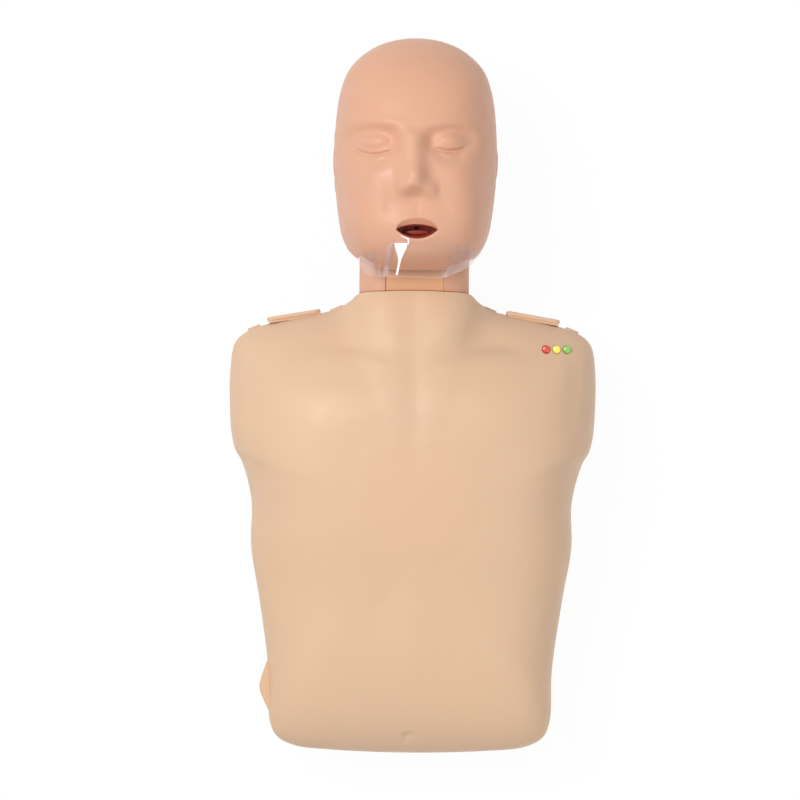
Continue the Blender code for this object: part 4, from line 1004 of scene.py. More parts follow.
def make_clips(looks):
    """The bars on the shoulder slopes, each a rounded strap with a crowned outer face."""
    for sign, side in ((-1, "left"), (1, "right")):
        low, high, box_middle = measured(f"shoulder_clip_{side}")
        centre_z, half_z = box_middle.z, (high.z - low.z) / 2
        loops = []
        for reach, inset in CLIP_CROWN:
            section = rounded_rectangle(CLIP_WIDTH / 2 - inset, half_z - inset, CLIP_CORNER - inset, 8)
            loops.append([(u, reach, centre_z + v) for u, v in section])
        strap = lofted(f"clip_strap_{side}", loops)
        seat_x, seat_z = CLIP_WIDTH / 2 - CLIP_SEAT_INSET, half_z - CLIP_SEAT_INSET
        seat_low = (-seat_x, -CLIP_SEAT_REACH, centre_z - seat_z)
        join(strap, block("clip_seat", seat_low, (seat_x, CLIP_THICK / 2, centre_z + seat_z)))
        middle, turn = clip_place(sign)
        place(strap, Matrix.Translation(middle) @ Matrix.Rotation(turn, 4, "Z"))
        smooth(strap, radians(50))
        carried(strap, looks["body_tan"], "torso", "body_tan", f"shoulder_clip_{side}")


# Neck

PIVOT_BORE_RADIUS = 0.0043
PIVOT_BORE_HALF = 0.060
NECK_TOP_SHARES = (0.15, 0.3, 0.44, 0.56, 0.67, 0.77, 0.85, 0.9)


def make_neck(looks):
    half_depth = NECK_DEPTH / 2
    loops = [neck_section(y, 0.0) for y in (NECK_ROOT_Y, NECK_ROOT_Y + 0.04, PIVOT_Y)]
    for share in NECK_TOP_SHARES:
        depth = half_depth * sqrt(1 - share**2)
        loops.append(neck_section(PIVOT_Y + share * half_depth, 0.0, depth, min(NECK_CORNER, depth * 0.9)))
    neck = lofted("neck_stem", loops)
    low, high, _ = measured("throat_panel")
    recess_low = (low.x - 2 * GAP, low.y - GAP, low.z - GAP)
    recess = block("panel_recess", recess_low, (high.x + GAP / 2, high.y + GAP, NECK_TOP_Z + 0.01))
    bore_start, bore_end = ((side * PIVOT_BORE_HALF, PIVOT_Y, PIVOT_Z) for side in (-1, 1))
    bore = cylinder("pivot_bore", PIVOT_BORE_RADIUS, bore_start, bore_end)
    pilots = [
        upright("pilot", SHANK_HOLE, (x, NECK_SCREW_Y), NECK_LOW_Z - 0.002, NECK_LOW_Z + 0.021)
        for x in NECK_SCREW_XS
    ]
    cut(neck, recess, bore, *pilots)
    smooth(neck)
    carried(neck, looks["head_tan"], "torso", "head_tan", "neck_block")
    levels = ((low.z, 0.0), (high.z - 0.0005, 0.0), (high.z, 0.0005))
    loops = [[(x, y, z) for x, y in rectangle(low, high, inset)] for z, inset in levels]
    panel = lofted("throat_pad", loops)
    carried(panel, looks["throat_tan"], "torso", "throat_tan", "throat_panel")


# Head

HEAD_TOP = CROWN_Y - HEAD_CENTRE_Y
HEAD_SIDE = [
    (0.0, CHIN_Y),
    (HEAD_HALF * 0.396, CHIN_Y + 0.0010),
    (HEAD_HALF * 0.660, CHIN_Y + 0.0080),
    (HEAD_HALF * 0.798, CHIN_Y + 0.0190),
    (HEAD_HALF * 0.887, CHIN_Y + 0.0320),
    (HEAD_HALF * 0.939, CHIN_Y + 0.0500),
    (HEAD_HALF * 0.983, CHIN_Y + 0.0795),
    (HEAD_HALF, HEAD_CENTRE_Y),
    (HEAD_HALF * 0.970, HEAD_CENTRE_Y + HEAD_TOP * 0.370),
    (HEAD_HALF * 0.923, HEAD_CENTRE_Y + HEAD_TOP * 0.556),
    (HEAD_HALF * 0.838, HEAD_CENTRE_Y + HEAD_TOP * 0.713),
    (HEAD_HALF * 0.706, HEAD_CENTRE_Y + HEAD_TOP * 0.824),
    (HEAD_HALF * 0.514, HEAD_CENTRE_Y + HEAD_TOP * 0.919),
    (HEAD_HALF * 0.264, HEAD_CENTRE_Y + HEAD_TOP * 0.981),
    (0.0, CROWN_Y),
]
HEAD = Outline(HEAD_SIDE, HEAD_CENTRE_Y)
FACE_FULLNESS = 2.4
JAW_FULLNESS = 4.5
SKULL_FULLNESS = 2.6
FACE_CELLS = 240
SKULL_CELLS = 120


def mouth_rim(x, upper):
    """How far the mouth's opening reaches above or below its corners at x."""
    left = 1 - np.clip(np.abs(x) / MOUTH_HALF_X, 0.0, 1.0) ** 2
    return MOUTH_RISE * left**0.66 if upper else MOUTH_FALL * left**0.88


LEFT_LASHES = ((-0.0575, 0.2275), (-0.0500, 0.2228), (-0.0410, 0.2208), (-0.0310, 0.2220), (-0.0222, 0.2248))
RIGHT_LASHES = ((0.0145, 0.2276), (0.0220, 0.2254), (0.0300, 0.2243), (0.0375, 0.2256), (0.0450, 0.2284))
LEFT_POUCH = ((-0.0545, 0.2205), (-0.0475, 0.2150), (-0.0395, 0.2132), (-0.0310, 0.2152), (-0.0225, 0.2210))
RIGHT_POUCH = ((0.0140, 0.2232), (0.0215, 0.2182), (0.0290, 0.2166), (0.0370, 0.2187), (0.0440, 0.2236))
EYES = (
    {
        "depth": 0.0084,
        "socket": ((-0.0405, EYE_Y - 0.0010), (0.0245, 0.0148)),
        "lashes": LEFT_LASHES,
        "pouch": LEFT_POUCH,
        "ball": ((-0.0412, EYE_Y - 0.0022), (0.0142, 0.0078)),
    },
    {
        "depth": 0.0078,
        "socket": ((0.0315, EYE_Y - 0.0004), (0.0220, 0.0142)),
        "lashes": RIGHT_LASHES,
        "pouch": RIGHT_POUCH,
        "ball": ((0.0312, EYE_Y - 0.0012), (0.0130, 0.0074)),
    },
)
LID_BULGE = 0.0074
LASH_ROLL = 0.0012
LASH_DEPTH = 0.0019
LOWER_LID_DEPTH = 0.0013
LOWER_LID_DROP = 0.0026
POUCH_DEPTH = 0.0027
# The eyes' inner corners, the nose's tip, the upper lip and its groove, the chin and the dip above it
FACE_SWELLS = (
    (-0.0022, -0.0220, EYE_Y - 0.0020, 0.0060, 0.0105),
    (-0.0036, 0.0125, EYE_Y - 0.0020, 0.0060, 0.0120),
    (0.0040, -0.0028, NOSE_TIP_Y - 0.0030, 0.0100, 0.0098),
    (0.0050, 0.0, MOUTH_Y, 0.0280, 0.0150),
    (-0.0005, 0.0, 0.1700, 0.0035, 0.0065),
    (0.0044, 0.0, CHIN_Y + 0.0155, 0.0240, 0.0120),
    (-0.0008, 0.0, MOUTH_Y - 0.0150, 0.0180, 0.0045),
)
BROW_RISE = 0.0030
CHEEK_RISE = 0.0030
NOSE_ROOT_Y = EYE_Y + 0.014
NOSE_ROOT_X = -0.0062
NOSE_SHIFT = 0.0032
RIDGE_LOW = 0.0034
RIDGE_GAIN = 0.0104
RIDGE_HALF = 0.0104
RIDGE_WIDENING = 0.0020
RIDGE_UNEVEN = 0.0015
WING_X = 0.0120
WING_RISE = 0.0052
WING_UNEVEN = 0.0008
CREASE_DEPTH = 0.0006
WING_FOLD = ((0.0180, NOSE_BASE_Y + 0.015), (0.0210, NOSE_BASE_Y + 0.008), (0.0190, NOSE_BASE_Y - 0.001))
CHEEK_FOLD = ((0.0215, NOSE_BASE_Y + 0.004), (0.0262, NOSE_BASE_Y - 0.010), (0.0275, NOSE_BASE_Y - 0.024))


def off_centre(x, y, centre, half):
    """The square of the distance from a centre, with the half size as 1."""
    return ((x - centre[0]) / half[0]) ** 2 + ((y - centre[1]) / half[1]) ** 2


def eye_relief(x, y, depth, socket, lashes, pouch, ball):
    """One closed eye: its socket, the ball under its lid, the lash line, the lower lid and the pouch."""
    relief = LID_BULGE * np.exp(-(off_centre(x, y, *ball) ** 1.25))
    relief -= depth * np.exp(-(off_centre(x, y, *socket) ** 2.1))
    distance, share, left = off_line(x, y, lashes)
    ends = ease(share / 0.14) * ease((1 - share) / 0.14)
    above = np.where(left > 0, 1.0, 0.0)
    relief += LASH_ROLL * ends * above * np.exp(-((distance / 0.0030) ** 2))
    relief -= LASH_DEPTH * ends * np.exp(-((distance / 0.0010) ** 2))
    relief -= LOWER_LID_DEPTH * ends * (1 - above) * np.exp(-(((distance - LOWER_LID_DROP) / 0.0009) ** 2))
    return relief + POUCH_DEPTH * groove(x, y, pouch, 0.0022, 0.0060, 0.3)


def nose_relief(x, y):
    """The ridge, which leans to one side and widens as it rises, and the wings beside its tip."""
    rise = np.clip((NOSE_ROOT_Y - y) / (NOSE_ROOT_Y - NOSE_TIP_Y), 0.0, 1.0)
    off_axis = x - NOSE_ROOT_X - NOSE_SHIFT * rise
    foot = ease((y - NOSE_BASE_Y + 0.0020) / 0.0135)
    ridge = (RIDGE_LOW + RIDGE_GAIN * rise**1.25) * foot * ease(rise / 0.25)
    width = RIDGE_HALF + RIDGE_WIDENING * rise - RIDGE_UNEVEN * np.tanh(off_axis / 0.004)
    wing_side = np.abs(x + 0.0004)
    wing = off_centre(wing_side, y, (WING_X, NOSE_BASE_Y + 0.0062), (0.0074, 0.0080))
    relief = ridge * np.exp(-((np.abs(off_axis) / width) ** 2.4))
    relief += (WING_RISE + WING_UNEVEN * np.tanh(x / 0.004)) * np.exp(-(wing**1.15))
    return relief + CREASE_DEPTH * groove(wing_side, y, WING_FOLD, 0.0026, 0.0036, 0.3)


def face_relief(x, y):
    """Brow, closed eyes, cheeks, nose, lips and chin, as heights over the plain dome."""
    side = np.abs(x)
    relief = BROW_RISE * bump(np.abs(x - EYE_MIDDLE_X), y, 0.034, EYE_Y + 0.0135, 0.026, 0.0060)
    relief += sum(eye_relief(x, y, **eye) for eye in EYES)
    relief += CHEEK_RISE * bump(side, y, 0.044, 0.203, 0.018, 0.018)
    relief += swellings(x, y, FACE_SWELLS) + nose_relief(x, y)
    relief += CREASE_DEPTH * groove(side, y, CHEEK_FOLD, 0.0050, 0.0070, 0.35)
    return relief + lip_relief(x, y)


LIP_BAND = 0.0060
LIP_DEPTH = 0.0036
LOWER_LIP_DEPTH = 0.0016
LOWER_LIP_BAND = 0.0018
LIP_MARGIN = 0.0004
LIP_LEAST = 0.0004


def lip_reach(x):
    """From 1 in the middle of the lips to 0 at the mouth's corners."""
    return np.clip(1 - (x / (MOUTH_HALF_X + LIP_MARGIN)) ** 2, 0.0, 1.0)


def lip_share(x, y):
    """From 0 at the outer arc of the upper lip to 1 at the mouth's opening."""
    reach = lip_reach(x)
    wide = np.maximum(LIP_BAND * reach**0.45, LIP_LEAST)
    return np.where(y > MOUTH_Y, (MOUTH_Y + mouth_rim(x, True) + wide - y) / wide, 0.0) * (reach > 0)


def lip_relief(x, y):
    """The lips turn in to the mouth: a wide slope above it, with a crisp edge, and a thin roll below."""
    reach = lip_reach(x)
    upper = -LIP_DEPTH * np.clip(lip_share(x, y), 0.0, 1.3) * ease(reach / 0.2)
    roll = ease((y - (MOUTH_Y - mouth_rim(x, False) - LOWER_LIP_BAND)) / 0.0024)
    lower = -LOWER_LIP_DEPTH * roll * ease(reach / 0.1)
    return np.where(y > MOUTH_Y, upper, np.minimum(lower, 0.0))


def face_dome(share, angle):
    """The plain face from 1 in its middle to 0 at its edge, fuller towards the jaw."""
    fullness = FACE_FULLNESS + JAW_FULLNESS * np.clip(-np.sin(angle), 0.0, 1.0) ** 2
    return np.sqrt(np.clip(1 - np.clip(share, 0.0, 1.0) ** fullness, 0.0, 1.0))


def face_height(x, y, depth=0.0):
    """Height of the face over the split plane, moved in by depth from its outside."""
    angle = np.arctan2(y - HEAD_CENTRE_Y, x)
    dome = face_dome(np.hypot(x, y - HEAD_CENTRE_Y) / HEAD.inset(angle, depth), angle)
    rim = HEAD_SPLIT_Z + RIM_RISE
    relief = face_relief(x, y)
    if depth:
        relief = np.minimum(relief, 0.0)
    return rim + (FACE_Z - depth - rim) * dome + relief * np.minimum(1.0, 2.0 * dome)


def head_grid(cells, depth):
    share, angle = disc_points(cells, power=1.3)
    radius = HEAD.inset(angle, depth)
    return share * radius * np.cos(angle), HEAD_CENTRE_Y + share * radius * np.sin(angle), share, angle


def head_cutter(name, half, profile):
    """A cutter across the head with the given (y, z) section."""
    return lofted(name, [[(x, y, z) for y, z in profile] for x in (-half, half)])


PASSAGE_SIDE = [
    (COLLAR_Y - 0.002, 0.010),
    (PASSAGE_END_Y - 0.006, 0.010),
    (PASSAGE_END_Y, 0.050),
    (PASSAGE_END_Y, HEAD_SPLIT_Z + 0.018),
    (PASSAGE_END_Y - 0.020, JAW_LIP_Z),
    (COLLAR_Y - 0.002, JAW_LIP_Z),
]
JAW_SIDE = [
    (CHIN_Y - 0.010, HEAD_SPLIT_Z - 0.003),
    (JAW_ANGLE_Y, HEAD_SPLIT_Z - 0.003),
    (JAW_ANGLE_Y, HEAD_SPLIT_Z + 0.004),
    (CHIN_Y + 0.012, JAW_LIP_Z - 0.010),
    (CHIN_Y - 0.010, JAW_LIP_Z + 0.003),
]
NAPE_SIDE = [
    (CHIN_Y - 0.010, HEAD_SPLIT_Z + 0.003),
    (CHIN_Y - 0.010, SKULL_Z - 0.010),
    (PASSAGE_END_Y + 0.004, SKULL_Z - 0.010),
    (PASSAGE_END_Y, 0.046),
    (JAW_ANGLE_Y + 0.010, 0.072),
    (JAW_ANGLE_Y, HEAD_SPLIT_Z - 0.006),
    (JAW_ANGLE_Y, HEAD_SPLIT_Z + 0.003),
]
TRIM_HALF = HEAD_HALF + 0.01
MOUTH_CUT_ZS = (0.160, 0.230)
SKULL_POST_RADIUS = 0.006
SKULL_POST_Z = 0.034


def mouth_loop(shrink, z):
    """The mouth's outline, pointed at the corners, smaller by shrink."""
    narrow, low = 1 - shrink / MOUTH_HALF_X, 1 - 2 * shrink / (MOUTH_RISE + MOUTH_FALL)
    loop = []
    for step in range(72):
        angle = 2 * pi * (step + 0.5) / 72
        x = MOUTH_HALF_X * cos(angle)
        y = float(mouth_rim(x, True)) if sin(angle) > 0 else -float(mouth_rim(x, False))
        loop.append((x * narrow, MOUTH_Y + y * low, z))
    return loop


def make_face(looks):
    def surface(cells, depth):
        x, y, _, _ = head_grid(cells, depth)
        return x, y, face_height(x, y, depth)

    outside, inside = surface(FACE_CELLS, 0.0), surface(FACE_CELLS // 2, HEAD_WALL)
    face = cup("face_front", outside, inside, HEAD_SPLIT_Z + GAP)
    passage = head_cutter("jaw_passage", PASSAGE_HALF, PASSAGE_SIDE)
    mouth = lofted("mouth_cut", [mouth_loop(0.0, z) for z in MOUTH_CUT_ZS])
    cut(face, passage, head_cutter("jaw_trim", TRIM_HALF, JAW_SIDE), mouth)
    smooth(face, radians(50))
    places = np.empty(len(face.data.vertices) * 3, np.float32)
    face.data.vertices.foreach_get("co", places)
    x, y, z = places.reshape(-1, 3).T
    painted(face, "lip", ease(lip_share(x, y) / 0.12) * (z > FACE_Z - 0.030))
    carried(face, looks["face_tan"], "head", "head_tan", "face_shell")


EAR_Y = 0.218
EAR_Z = 0.088
EAR_HALF_Y = 0.031
EAR_HALF_Z = 0.0155
EAR_RISE = 0.0009
BOWL_DEPTH = 0.0006
FOLD_DEPTH = 0.0003


def ear_relief(y, z):
    """How far the moulded ear stands out of the side of the skull at a place."""
    u = (y - EAR_Y) / EAR_HALF_Y
    v = (z - EAR_Z) / EAR_HALF_Z
    ring = np.hypot(u + 0.12 * v, v)
    body = ease((1.06 - ring) / 0.16)
    bowl = np.exp(-(((ring - 0.05) / 0.52) ** 2))
    fold = np.exp(-(((ring - 0.66) / 0.10) ** 2))
    return (EAR_RISE - BOWL_DEPTH * bowl - FOLD_DEPTH * fold) * body


def skull_surface(cells, depth):
    x, y, share, _ = head_grid(cells, depth)
    rim = HEAD_SPLIT_Z - RIM_RISE
    z = rim - (rim - SKULL_Z - depth) * np.sqrt(np.clip(1 - share**SKULL_FULLNESS, 0.0, 1.0))
    if not depth:
        x = x + np.sign(x) * ear_relief(y, z) * ease((np.abs(x) - 0.052) / 0.012)
    return x, y, z


def make_skull(looks):
    outside, inside = skull_surface(SKULL_CELLS, 0.0), skull_surface(SKULL_CELLS // 2, HEAD_WALL)
    skull = cup("skull_back", outside, inside, HEAD_SPLIT_Z)
    wells, posts = [], []
    for index in range(4):
        low, _, middle = measured(f"head_screw_{index + 1}")
        posts.append(upright("skull_post", SKULL_POST_RADIUS, middle, SKULL_POST_Z, HEAD_SPLIT_Z))
        seat = low.z + SCREW_HEAD_RISE
        wells.append(stepped_hole("screw_well", middle, 0.0, seat, HEAD_SPLIT_Z + 0.01))
    x, y, z = skull_surface(SKULL_CELLS // 2, 0.0)
    room = slab("skull_inside", x, y, z + HEAD_WALL / 2, np.full(z.shape, HEAD_SPLIT_Z))
    columns = boolean(join(*posts), [room], "INTERSECT")
    join(skull, columns)
    passage = head_cutter("nape_passage", PASSAGE_HALF, PASSAGE_SIDE)
    cut(skull, passage, head_cutter("nape_trim", TRIM_HALF, NAPE_SIDE), *wells)
    smooth(skull, radians(50))
    carried(skull, looks["head_tan"], "head", "head_tan", "skull_shell")


TONGUE_HALF = 0.0140
TONGUE_WIDTH = 0.0034
TONGUE_RISE = 0.0078
TONGUE_Y = MOUTH_Y - 0.0016
AIRWAY_Y = MOUTH_Y + 0.0022
AIRWAY_RADIUS = 0.0018


def make_mouth(looks):
    """The mouth's lining: a pointed oval cup with a low tongue and the airway hole behind it."""
    low, high, _ = measured("mouth_insert")
    floor_z = low.z + 0.004
    levels = (
        (GAP, low.z),
        (GAP, high.z - 0.0004),
        (GAP + 0.0005, high.z),
        (0.0014, high.z - 0.0010),
        (0.0018, high.z - 0.010),
        (0.0030, floor_z),
    )
    lining = lofted("mouth_lining", [mouth_loop(shrink, z) for shrink, z in levels])
    turns = [2 * pi * step / 24 for step in range(24)]
    tongue = []
    for across in (-1 + step / 8 for step in range(17)):
        rise = sqrt(max(0.0, 1 - across * across))
        reach_y, reach_z = TONGUE_WIDTH * rise + 0.0002, TONGUE_RISE * rise + 0.0004
        middle = (across * TONGUE_HALF, TONGUE_Y, floor_z - 0.001)
        tongue.append(
            [(middle[0], middle[1] + reach_y * cos(turn), middle[2] + reach_z * sin(turn)) for turn in turns]
        )
    join(lining, lofted("tongue", tongue))
    cut(lining, upright("airway", AIRWAY_RADIUS, (0.0, AIRWAY_Y), low.z - 0.002, floor_z + 0.006))
    smooth(lining, radians(60))
    carried(lining, looks["mouth_red"], "head", "mouth_red", "mouth_insert")


FILM_GAP = 0.0011
FILM_THICK = 0.0003
FILM_ACROSS = 220
FILM_DOWN = 80
FILM_TOP = (
    (-0.0520, 0.1290),
    (-0.0440, 0.1322),
    (-0.0340, 0.1362),
    (-0.0235, 0.1415),
    (-0.0170, 0.1462),
    (-0.0095, 0.1440),
    (0.0020, 0.1418),
    (0.0200, 0.1405),
    (0.0400, 0.1380),
    (0.0600, 0.1350),
)
FILM_FOOT = (
    (-0.0520, 0.1215),
    (-0.0490, 0.1160),
    (-0.0430, 0.1108),
    (-0.0262, 0.1092),
    (0.0000, 0.1088),
    (0.0265, 0.1090),
    (0.0356, 0.1126),
    (0.0474, 0.1182),
    (0.0600, 0.1310),
)
# The painted highlight's white stroke, as its left and right X at each Y, and the curl above it
HIGHLIGHT_STROKE = (
    (0.1390, -0.0205, -0.0082),
    (0.1345, -0.0195, -0.0090),
    (0.1290, -0.0176, -0.0116),
    (0.1245, -0.0166, -0.0134),
    (0.1180, -0.0170, -0.0146),
    (0.1105, -0.0184, -0.0162),
)
HIGHLIGHT_CURL = ((-0.0170, 0.1478), (-0.0125, 0.1452), (-0.0082, 0.1430), (-0.0074, 0.1405), (-0.0078, 0.1385))
# Each fold's X at the film's top and at its foot, its half width, its frosting and its lift
FILM_FOLDS = (
    (-0.0455, -0.0440, 0.0068, 0.34, 0.0012),
    (-0.0235, -0.0275, 0.0026, 0.44, 0.0016),
    (-0.0325, -0.0330, 0.0014, 0.16, 0.0),
    (0.0540, 0.0330, 0.0105, 0.32, 0.0012),
    (0.0365, 0.0290, 0.0022, 0.18, 0.0016),
)


def film_base(x, y):
    """Height of the film's inner side: the face, and a slope down past the jaw's edge."""
    angle = np.arctan2(y - HEAD_CENTRE_Y, x)
    share = np.hypot(x, y - HEAD_CENTRE_Y) / HEAD.radius(angle)
    dome = face_dome(share, angle)
    rim = HEAD_SPLIT_Z + RIM_RISE
    beyond = np.clip(share - 0.955, 0.0, 1.0) * HEAD.radius(angle)
    base = rim + (FACE_Z + FILM_GAP - rim) * np.maximum(dome, 0.50) - 0.6 * beyond
    return base + np.maximum(face_relief(x, y), 0.0) * np.minimum(1.0, 2.0 * dome)


def painted_highlight_mask(x, y):
    """1 on the painted highlight: the white stroke below the mouth's corner and the curl above it, standing
    in for a lamp's reflection.
    """
    levels, lefts, rights = (np.array(column) for column in zip(*HIGHLIGHT_STROKE))
    inside = np.minimum(x - np.interp(-y, -levels, lefts), np.interp(-y, -levels, rights) - x)
    bright = ease(inside / 0.0006)
    bright = bright * ease((levels[0] + 0.0004 - y) / 0.0008) * ease((y - levels[-1]) / 0.0008)
    return np.maximum(bright, ease((0.0009 - off_line(x, y, HIGHLIGHT_CURL)[0]) / 0.0005))


def make_film(looks):
    """The clear film over the chin, folded at both ends and creased where it leaves the mouth, with a painted
    highlight along that crease.
    """
    across, run = np.meshgrid(np.linspace(0.0, 1.0, FILM_ACROSS + 1), np.linspace(0.0, 1.0, FILM_DOWN + 1))
    x = FILM_TOP[0][0] + across * (FILM_TOP[-1][0] - FILM_TOP[0][0])
    top, foot = (np.interp(x, *zip(*through_points(edge, 8, closed=False))) for edge in (FILM_TOP, FILM_FOOT))
    y = top + (foot - top) * run
    frosted, lift = 0.0, 0.0010 * bump(x, y, -0.015, 0.130, 0.008, 0.012)
    for fold_top, fold_foot, half, frost, rise in FILM_FOLDS:
        middle = fold_foot + (fold_top - fold_foot) * np.clip((y - 0.110) / 0.030, 0.0, 1.2)
        fold = np.exp(-(((x - middle) / half) ** 4))
        frosted = frosted + frost * fold
        lift = lift + rise * fold
    frosted = frosted * ease(run / 0.15) + 0.25 * ease((run - 0.955) / 0.04)
    z = film_base(x, y) + lift * ease(run / 0.2)
    film = slab("shield_film", x, y, z, z + FILM_THICK)
    for name, values in (("frosted", frosted), ("bright", painted_highlight_mask(x, y))):
        painted(film, name, np.tile(np.clip(values, 0.0, 1.0).ravel(), 2))
    film.data.shade_smooth()
    carried(film, looks["clear_film"], "head", "clear_film", "face_shield")


# Lights, screws and the parts inside

LENS_DOME = 0.0012
LENS_BULGE = 0.0016
RECESS_LONG = 0.0019
RECESS_HALF_WIDTH = 0.00035
RECESS_DEPTH = 0.0012


def make_lenses(looks):
    for colour in LAMP_COLOURS:
        low, high, middle = measured(f"led_lens_{colour}")
        radius, dome_z = (high.x - low.x) / 2, high.z - LENS_DOME
        profile = [(radius, low.z), (radius, dome_z)]
        for bend in (pi / 2 * step / 8 for step in range(1, 8)):
            profile.append((radius * cos(bend), dome_z + LENS_BULGE * sin(bend)))
        lens = smooth(over(turned(f"lens_{colour}", profile, 40), middle), radians(50))
        carried(lens, looks[f"lamp_{colour}"], "torso", f"lamp_{colour}", f"led_lens_{colour}")


def make_screw(name, body, turn, looks):
    """A cross-head screw in a CAD screw's place; turn is -1 where its head is at the low end."""
    low, high, middle = measured(name)
    top, tip = (low.z, high.z) if turn < 0 else (high.z, low.z)
    foot = top - turn * (SCREW_HEAD_RISE - GAP)
    profile = [(0.0011, top)]
    for bend in (pi / 2 * step / 5 for step in range(6)):
        profile.append((SCREW_HEAD * (0.62 + 0.38 * sin(bend)), top - turn * 0.0014 * (1 - cos(bend))))
    profile += [(SCREW_HEAD, foot), (SCREW_SHANK, foot), (SCREW_SHANK, tip)]
    screw = over(turned(f"{name}_fine", profile, 32), middle)
    middle.z = top
    for reach_x, reach_y in ((RECESS_LONG, RECESS_HALF_WIDTH), (RECESS_HALF_WIDTH, RECESS_LONG)):
        reach = Vector((reach_x, reach_y, RECESS_DEPTH))
        cut(screw, block("recess", middle - reach, middle + reach))
    smooth(screw)
    carried(screw, looks["steel"], body, "steel", name)


def make_screws(looks):
    for index in range(4):
        make_screw(f"head_screw_{index + 1}", "head", -1, looks)
        make_screw(f"guide_screw_{index + 1}", "torso", 1, looks)
    for index in range(2):
        make_screw(f"neck_screw_{index + 1}", "torso", -1, looks)


SPRING_WIRE = 0.002
SPRING_TURNS = 7


def make_spring(looks):
    """The spring, as a fine round wire on a helix."""
    low, high, _ = measured("compression_spring")
    radius, travel = (high.x - low.x) / 2 - SPRING_WIRE, high.z - low.z - 2 * SPRING_WIRE
    steps_per_turn, sides = 40, 12
    steps = SPRING_TURNS * steps_per_turn
    loops = []
    for step in range(steps + 1):
        angle = 2 * pi * step / steps_per_turn
        outward, upward = Vector((cos(angle), sin(angle), 0.0)), Vector((0.0, 0.0, 1.0))
        centre = Vector((0.0, PUSH_Y, low.z + SPRING_WIRE + travel * step / steps)) + outward * radius
        turns = [2 * pi * side / sides for side in range(sides)]
        loops.append([centre + SPRING_WIRE * (outward * cos(turn) + upward * sin(turn)) for turn in turns])
    spring = smooth(lofted("coil_spring", loops))
    carried(spring, looks["steel"], "torso", "steel", "compression_spring")
    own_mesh(spring)


BAG_DROP = 0.0045
BAG_EDGE_THICK = 0.0003
BAG_FULL = 0.0010
BAG_CREASE = 0.00018


def make_bag(looks):
    """The flat bag under the skin: two films welded round the edge, a little full in the middle."""
    low, high, middle = measured("lung_bag")
    half = ((high.x - low.x) / 2, (high.y - low.y) / 2)
    share, angle = disc_points(64, power=1.2)
    reach = (np.abs(np.cos(angle) / half[0]) ** 4 + np.abs(np.sin(angle) / half[1]) ** 4) ** -0.25
    x = share * reach * np.cos(angle)
    y = middle.y + share * reach * np.sin(angle)
    weld = ease((0.965 - share) / 0.10)
    crease = BAG_CREASE * np.sin(x * 420 + 3 * np.sin(y * 60)) * weld * (1 - weld)
    seam = torso_front(x, y, SKIN_WALL) - BAG_DROP
    bag = slab("lung_pouch", x, y, seam - BAG_FULL * weld, seam + BAG_EDGE_THICK + BAG_FULL * weld + crease)
    smooth(bag)
    carried(bag, looks["bag_white"], "plunger", "bag_white", "lung_bag")


KEPT_NODES = {
    "body_tan": ["battery_cover"],
    "steel": ["battery_cover_screw", "click_leaf", "pivot_rod"],
    "grey_plastic": ["piston_guide", "monitor_case", "power_button", "chest_plate"],
    "white_plastic": ["piston"],
    "black_rubber": ["bumper_ring"],
    "board_green": ["circuit_board"],
    "cell_wrap": ["battery_1", "battery_2"],
}
SOFT_EDGED = ("battery_cover", "power_button", "monitor_case")
EDGE_ROUNDING = 0.0003


def dress_kept_nodes(looks):
    """Materials, and softened edges, for the solids that stay as they are."""
    for slot, names in KEPT_NODES.items():
        for name in names:
            wear(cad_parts[name], looks[slot])
    for name in SOFT_EDGED:
        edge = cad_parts[name].modifiers.new("soft_edge", "BEVEL")
        edge.width = EDGE_ROUNDING
        edge.segments = 2
        edge.limit_method = "ANGLE"


# Stage

FLOOR_GLOW = 0.94
GLOW_STRENGTH = 1.02
FLOOR_TONE = 0.74
FLOOR_HALF = 4.0
FLOOR_Z = -0.0002
LAMP_AIM = Vector((0.0, 0.0, 0.1))
SKY = 0.52
# Each lamp's name, place, power in watts and width
LAMPS = (("key", (-1.60, 0.98, 3.10), 71.0, 1.2), ("fill", (1.60, -1.40, 1.80), 12.0, 2.0))


def ray_factor(tree):
    """1 for rays from the camera, off gloss and through glass, 0 for the rest."""
    rays = tree.nodes.new("ShaderNodeLightPath").outputs
    seen = maths(tree, "MAXIMUM", rays["Is Camera Ray"], rays["Is Glossy Ray"])
    return maths(tree, "MAXIMUM", seen, rays["Is Transmission Ray"])


def make_world():
    world = bpy.data.worlds.new("studio")
    bpy.context.scene.world = world
    world.use_nodes = True
    tree = world.node_tree
    background = tree.nodes["Background"]
    background.inputs["Color"].default_value = (1.0, 1.0, 1.0, 1.0)
    tree.links.new(spread(tree, ray_factor(tree), 0.0, 1.0, SKY, 1.0), background.inputs["Strength"])


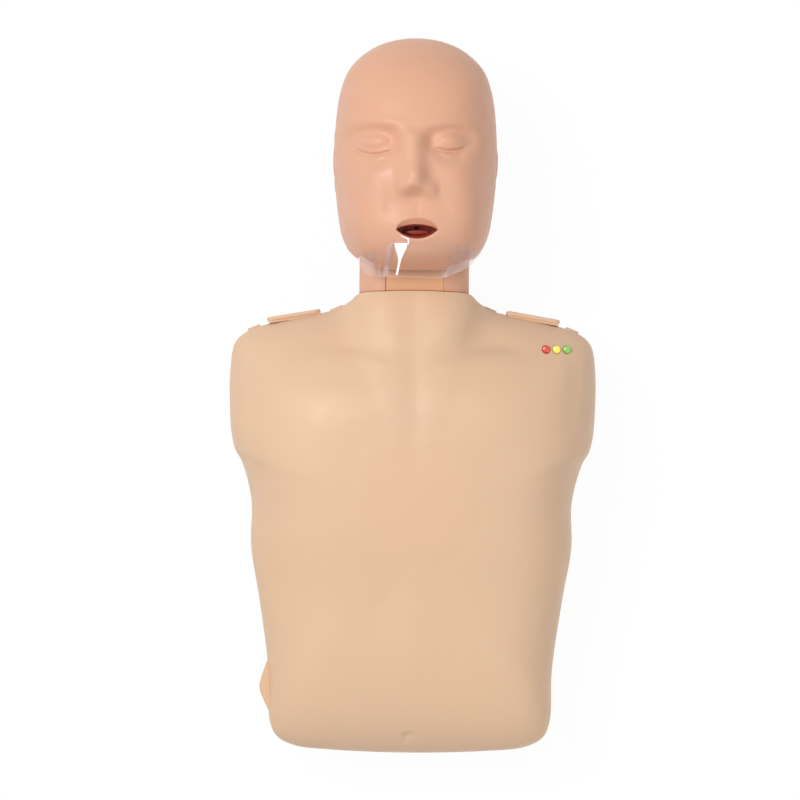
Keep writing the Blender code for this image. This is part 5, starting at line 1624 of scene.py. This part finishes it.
def make_floor():
    corners = rectangle((-FLOOR_HALF, -FLOOR_HALF), (FLOOR_HALF, FLOOR_HALF))
    floor = mesh_object("floor", [(x, y, FLOOR_Z) for x, y in corners], [(0, 1, 2, 3)])
    look, tree, shader = principled("pale_floor")
    set_inputs(shader, Base_Color=(FLOOR_TONE, FLOOR_TONE, FLOOR_TONE, 1.0), Roughness=0.9)
    glow = node(tree, "ShaderNodeEmission", Strength=GLOW_STRENGTH)
    mix = node(tree, "ShaderNodeMixShader", Fac=spread(tree, ray_factor(tree), 0.0, 1.0, 0.0, FLOOR_GLOW))
    tree.links.new(shader.outputs["BSDF"], mix.inputs[1])
    tree.links.new(glow.outputs["Emission"], mix.inputs[2])
    tree.links.new(mix.outputs["Shader"], tree.nodes["Material Output"].inputs["Surface"])
    wear(floor, look)


def make_lamps():
    for name, spot, power, size in LAMPS:
        lamp = bpy.data.lights.new(name, "AREA")
        lamp.energy = power
        lamp.shape = "SQUARE"
        lamp.size = size
        made = bpy.data.objects.new(name, lamp)
        bpy.context.scene.collection.objects.link(made)
        aim = (Vector(spot) - LAMP_AIM).to_track_quat("Z", "Y")
        made.matrix_world = Matrix.Translation(spot) @ aim.to_matrix().to_4x4()


def make_camera():
    data = bpy.data.cameras.new("camera")
    data.sensor_fit = "HORIZONTAL"
    data.sensor_width = SENSOR_MM
    data.lens = SENSOR_MM * CAMERA_DISTANCE / PHOTO_WIDTH
    data.clip_end = 20.0
    camera = bpy.data.objects.new("camera", data)
    bpy.context.scene.collection.objects.link(camera)
    back = Vector((-sin(CAMERA_SIDE), 0.0, cos(CAMERA_SIDE)))
    right = Vector((0.0, 1.0, 0.0)).cross(back).normalized()
    turn = Matrix((right, back.cross(right), back)).transposed().to_4x4()
    spot = Matrix.Translation(CAMERA_AIM + back * CAMERA_DISTANCE)
    camera.matrix_world = spot @ turn @ Matrix.Rotation(CAMERA_ROLL, 4, "Z")
    bpy.context.scene.camera = camera


bpy.context.scene.view_settings.view_transform = "Standard"
make_camera()
LOOKS = make_materials()
make_world()
make_floor()
make_lamps()
make_skin(LOOKS)
make_tray(LOOKS)
make_clips(LOOKS)
make_neck(LOOKS)
make_face(LOOKS)
make_skull(LOOKS)
make_mouth(LOOKS)
make_film(LOOKS)
make_lenses(LOOKS)
make_screws(LOOKS)
make_spring(LOOKS)
make_bag(LOOKS)
dress_kept_nodes(LOOKS)
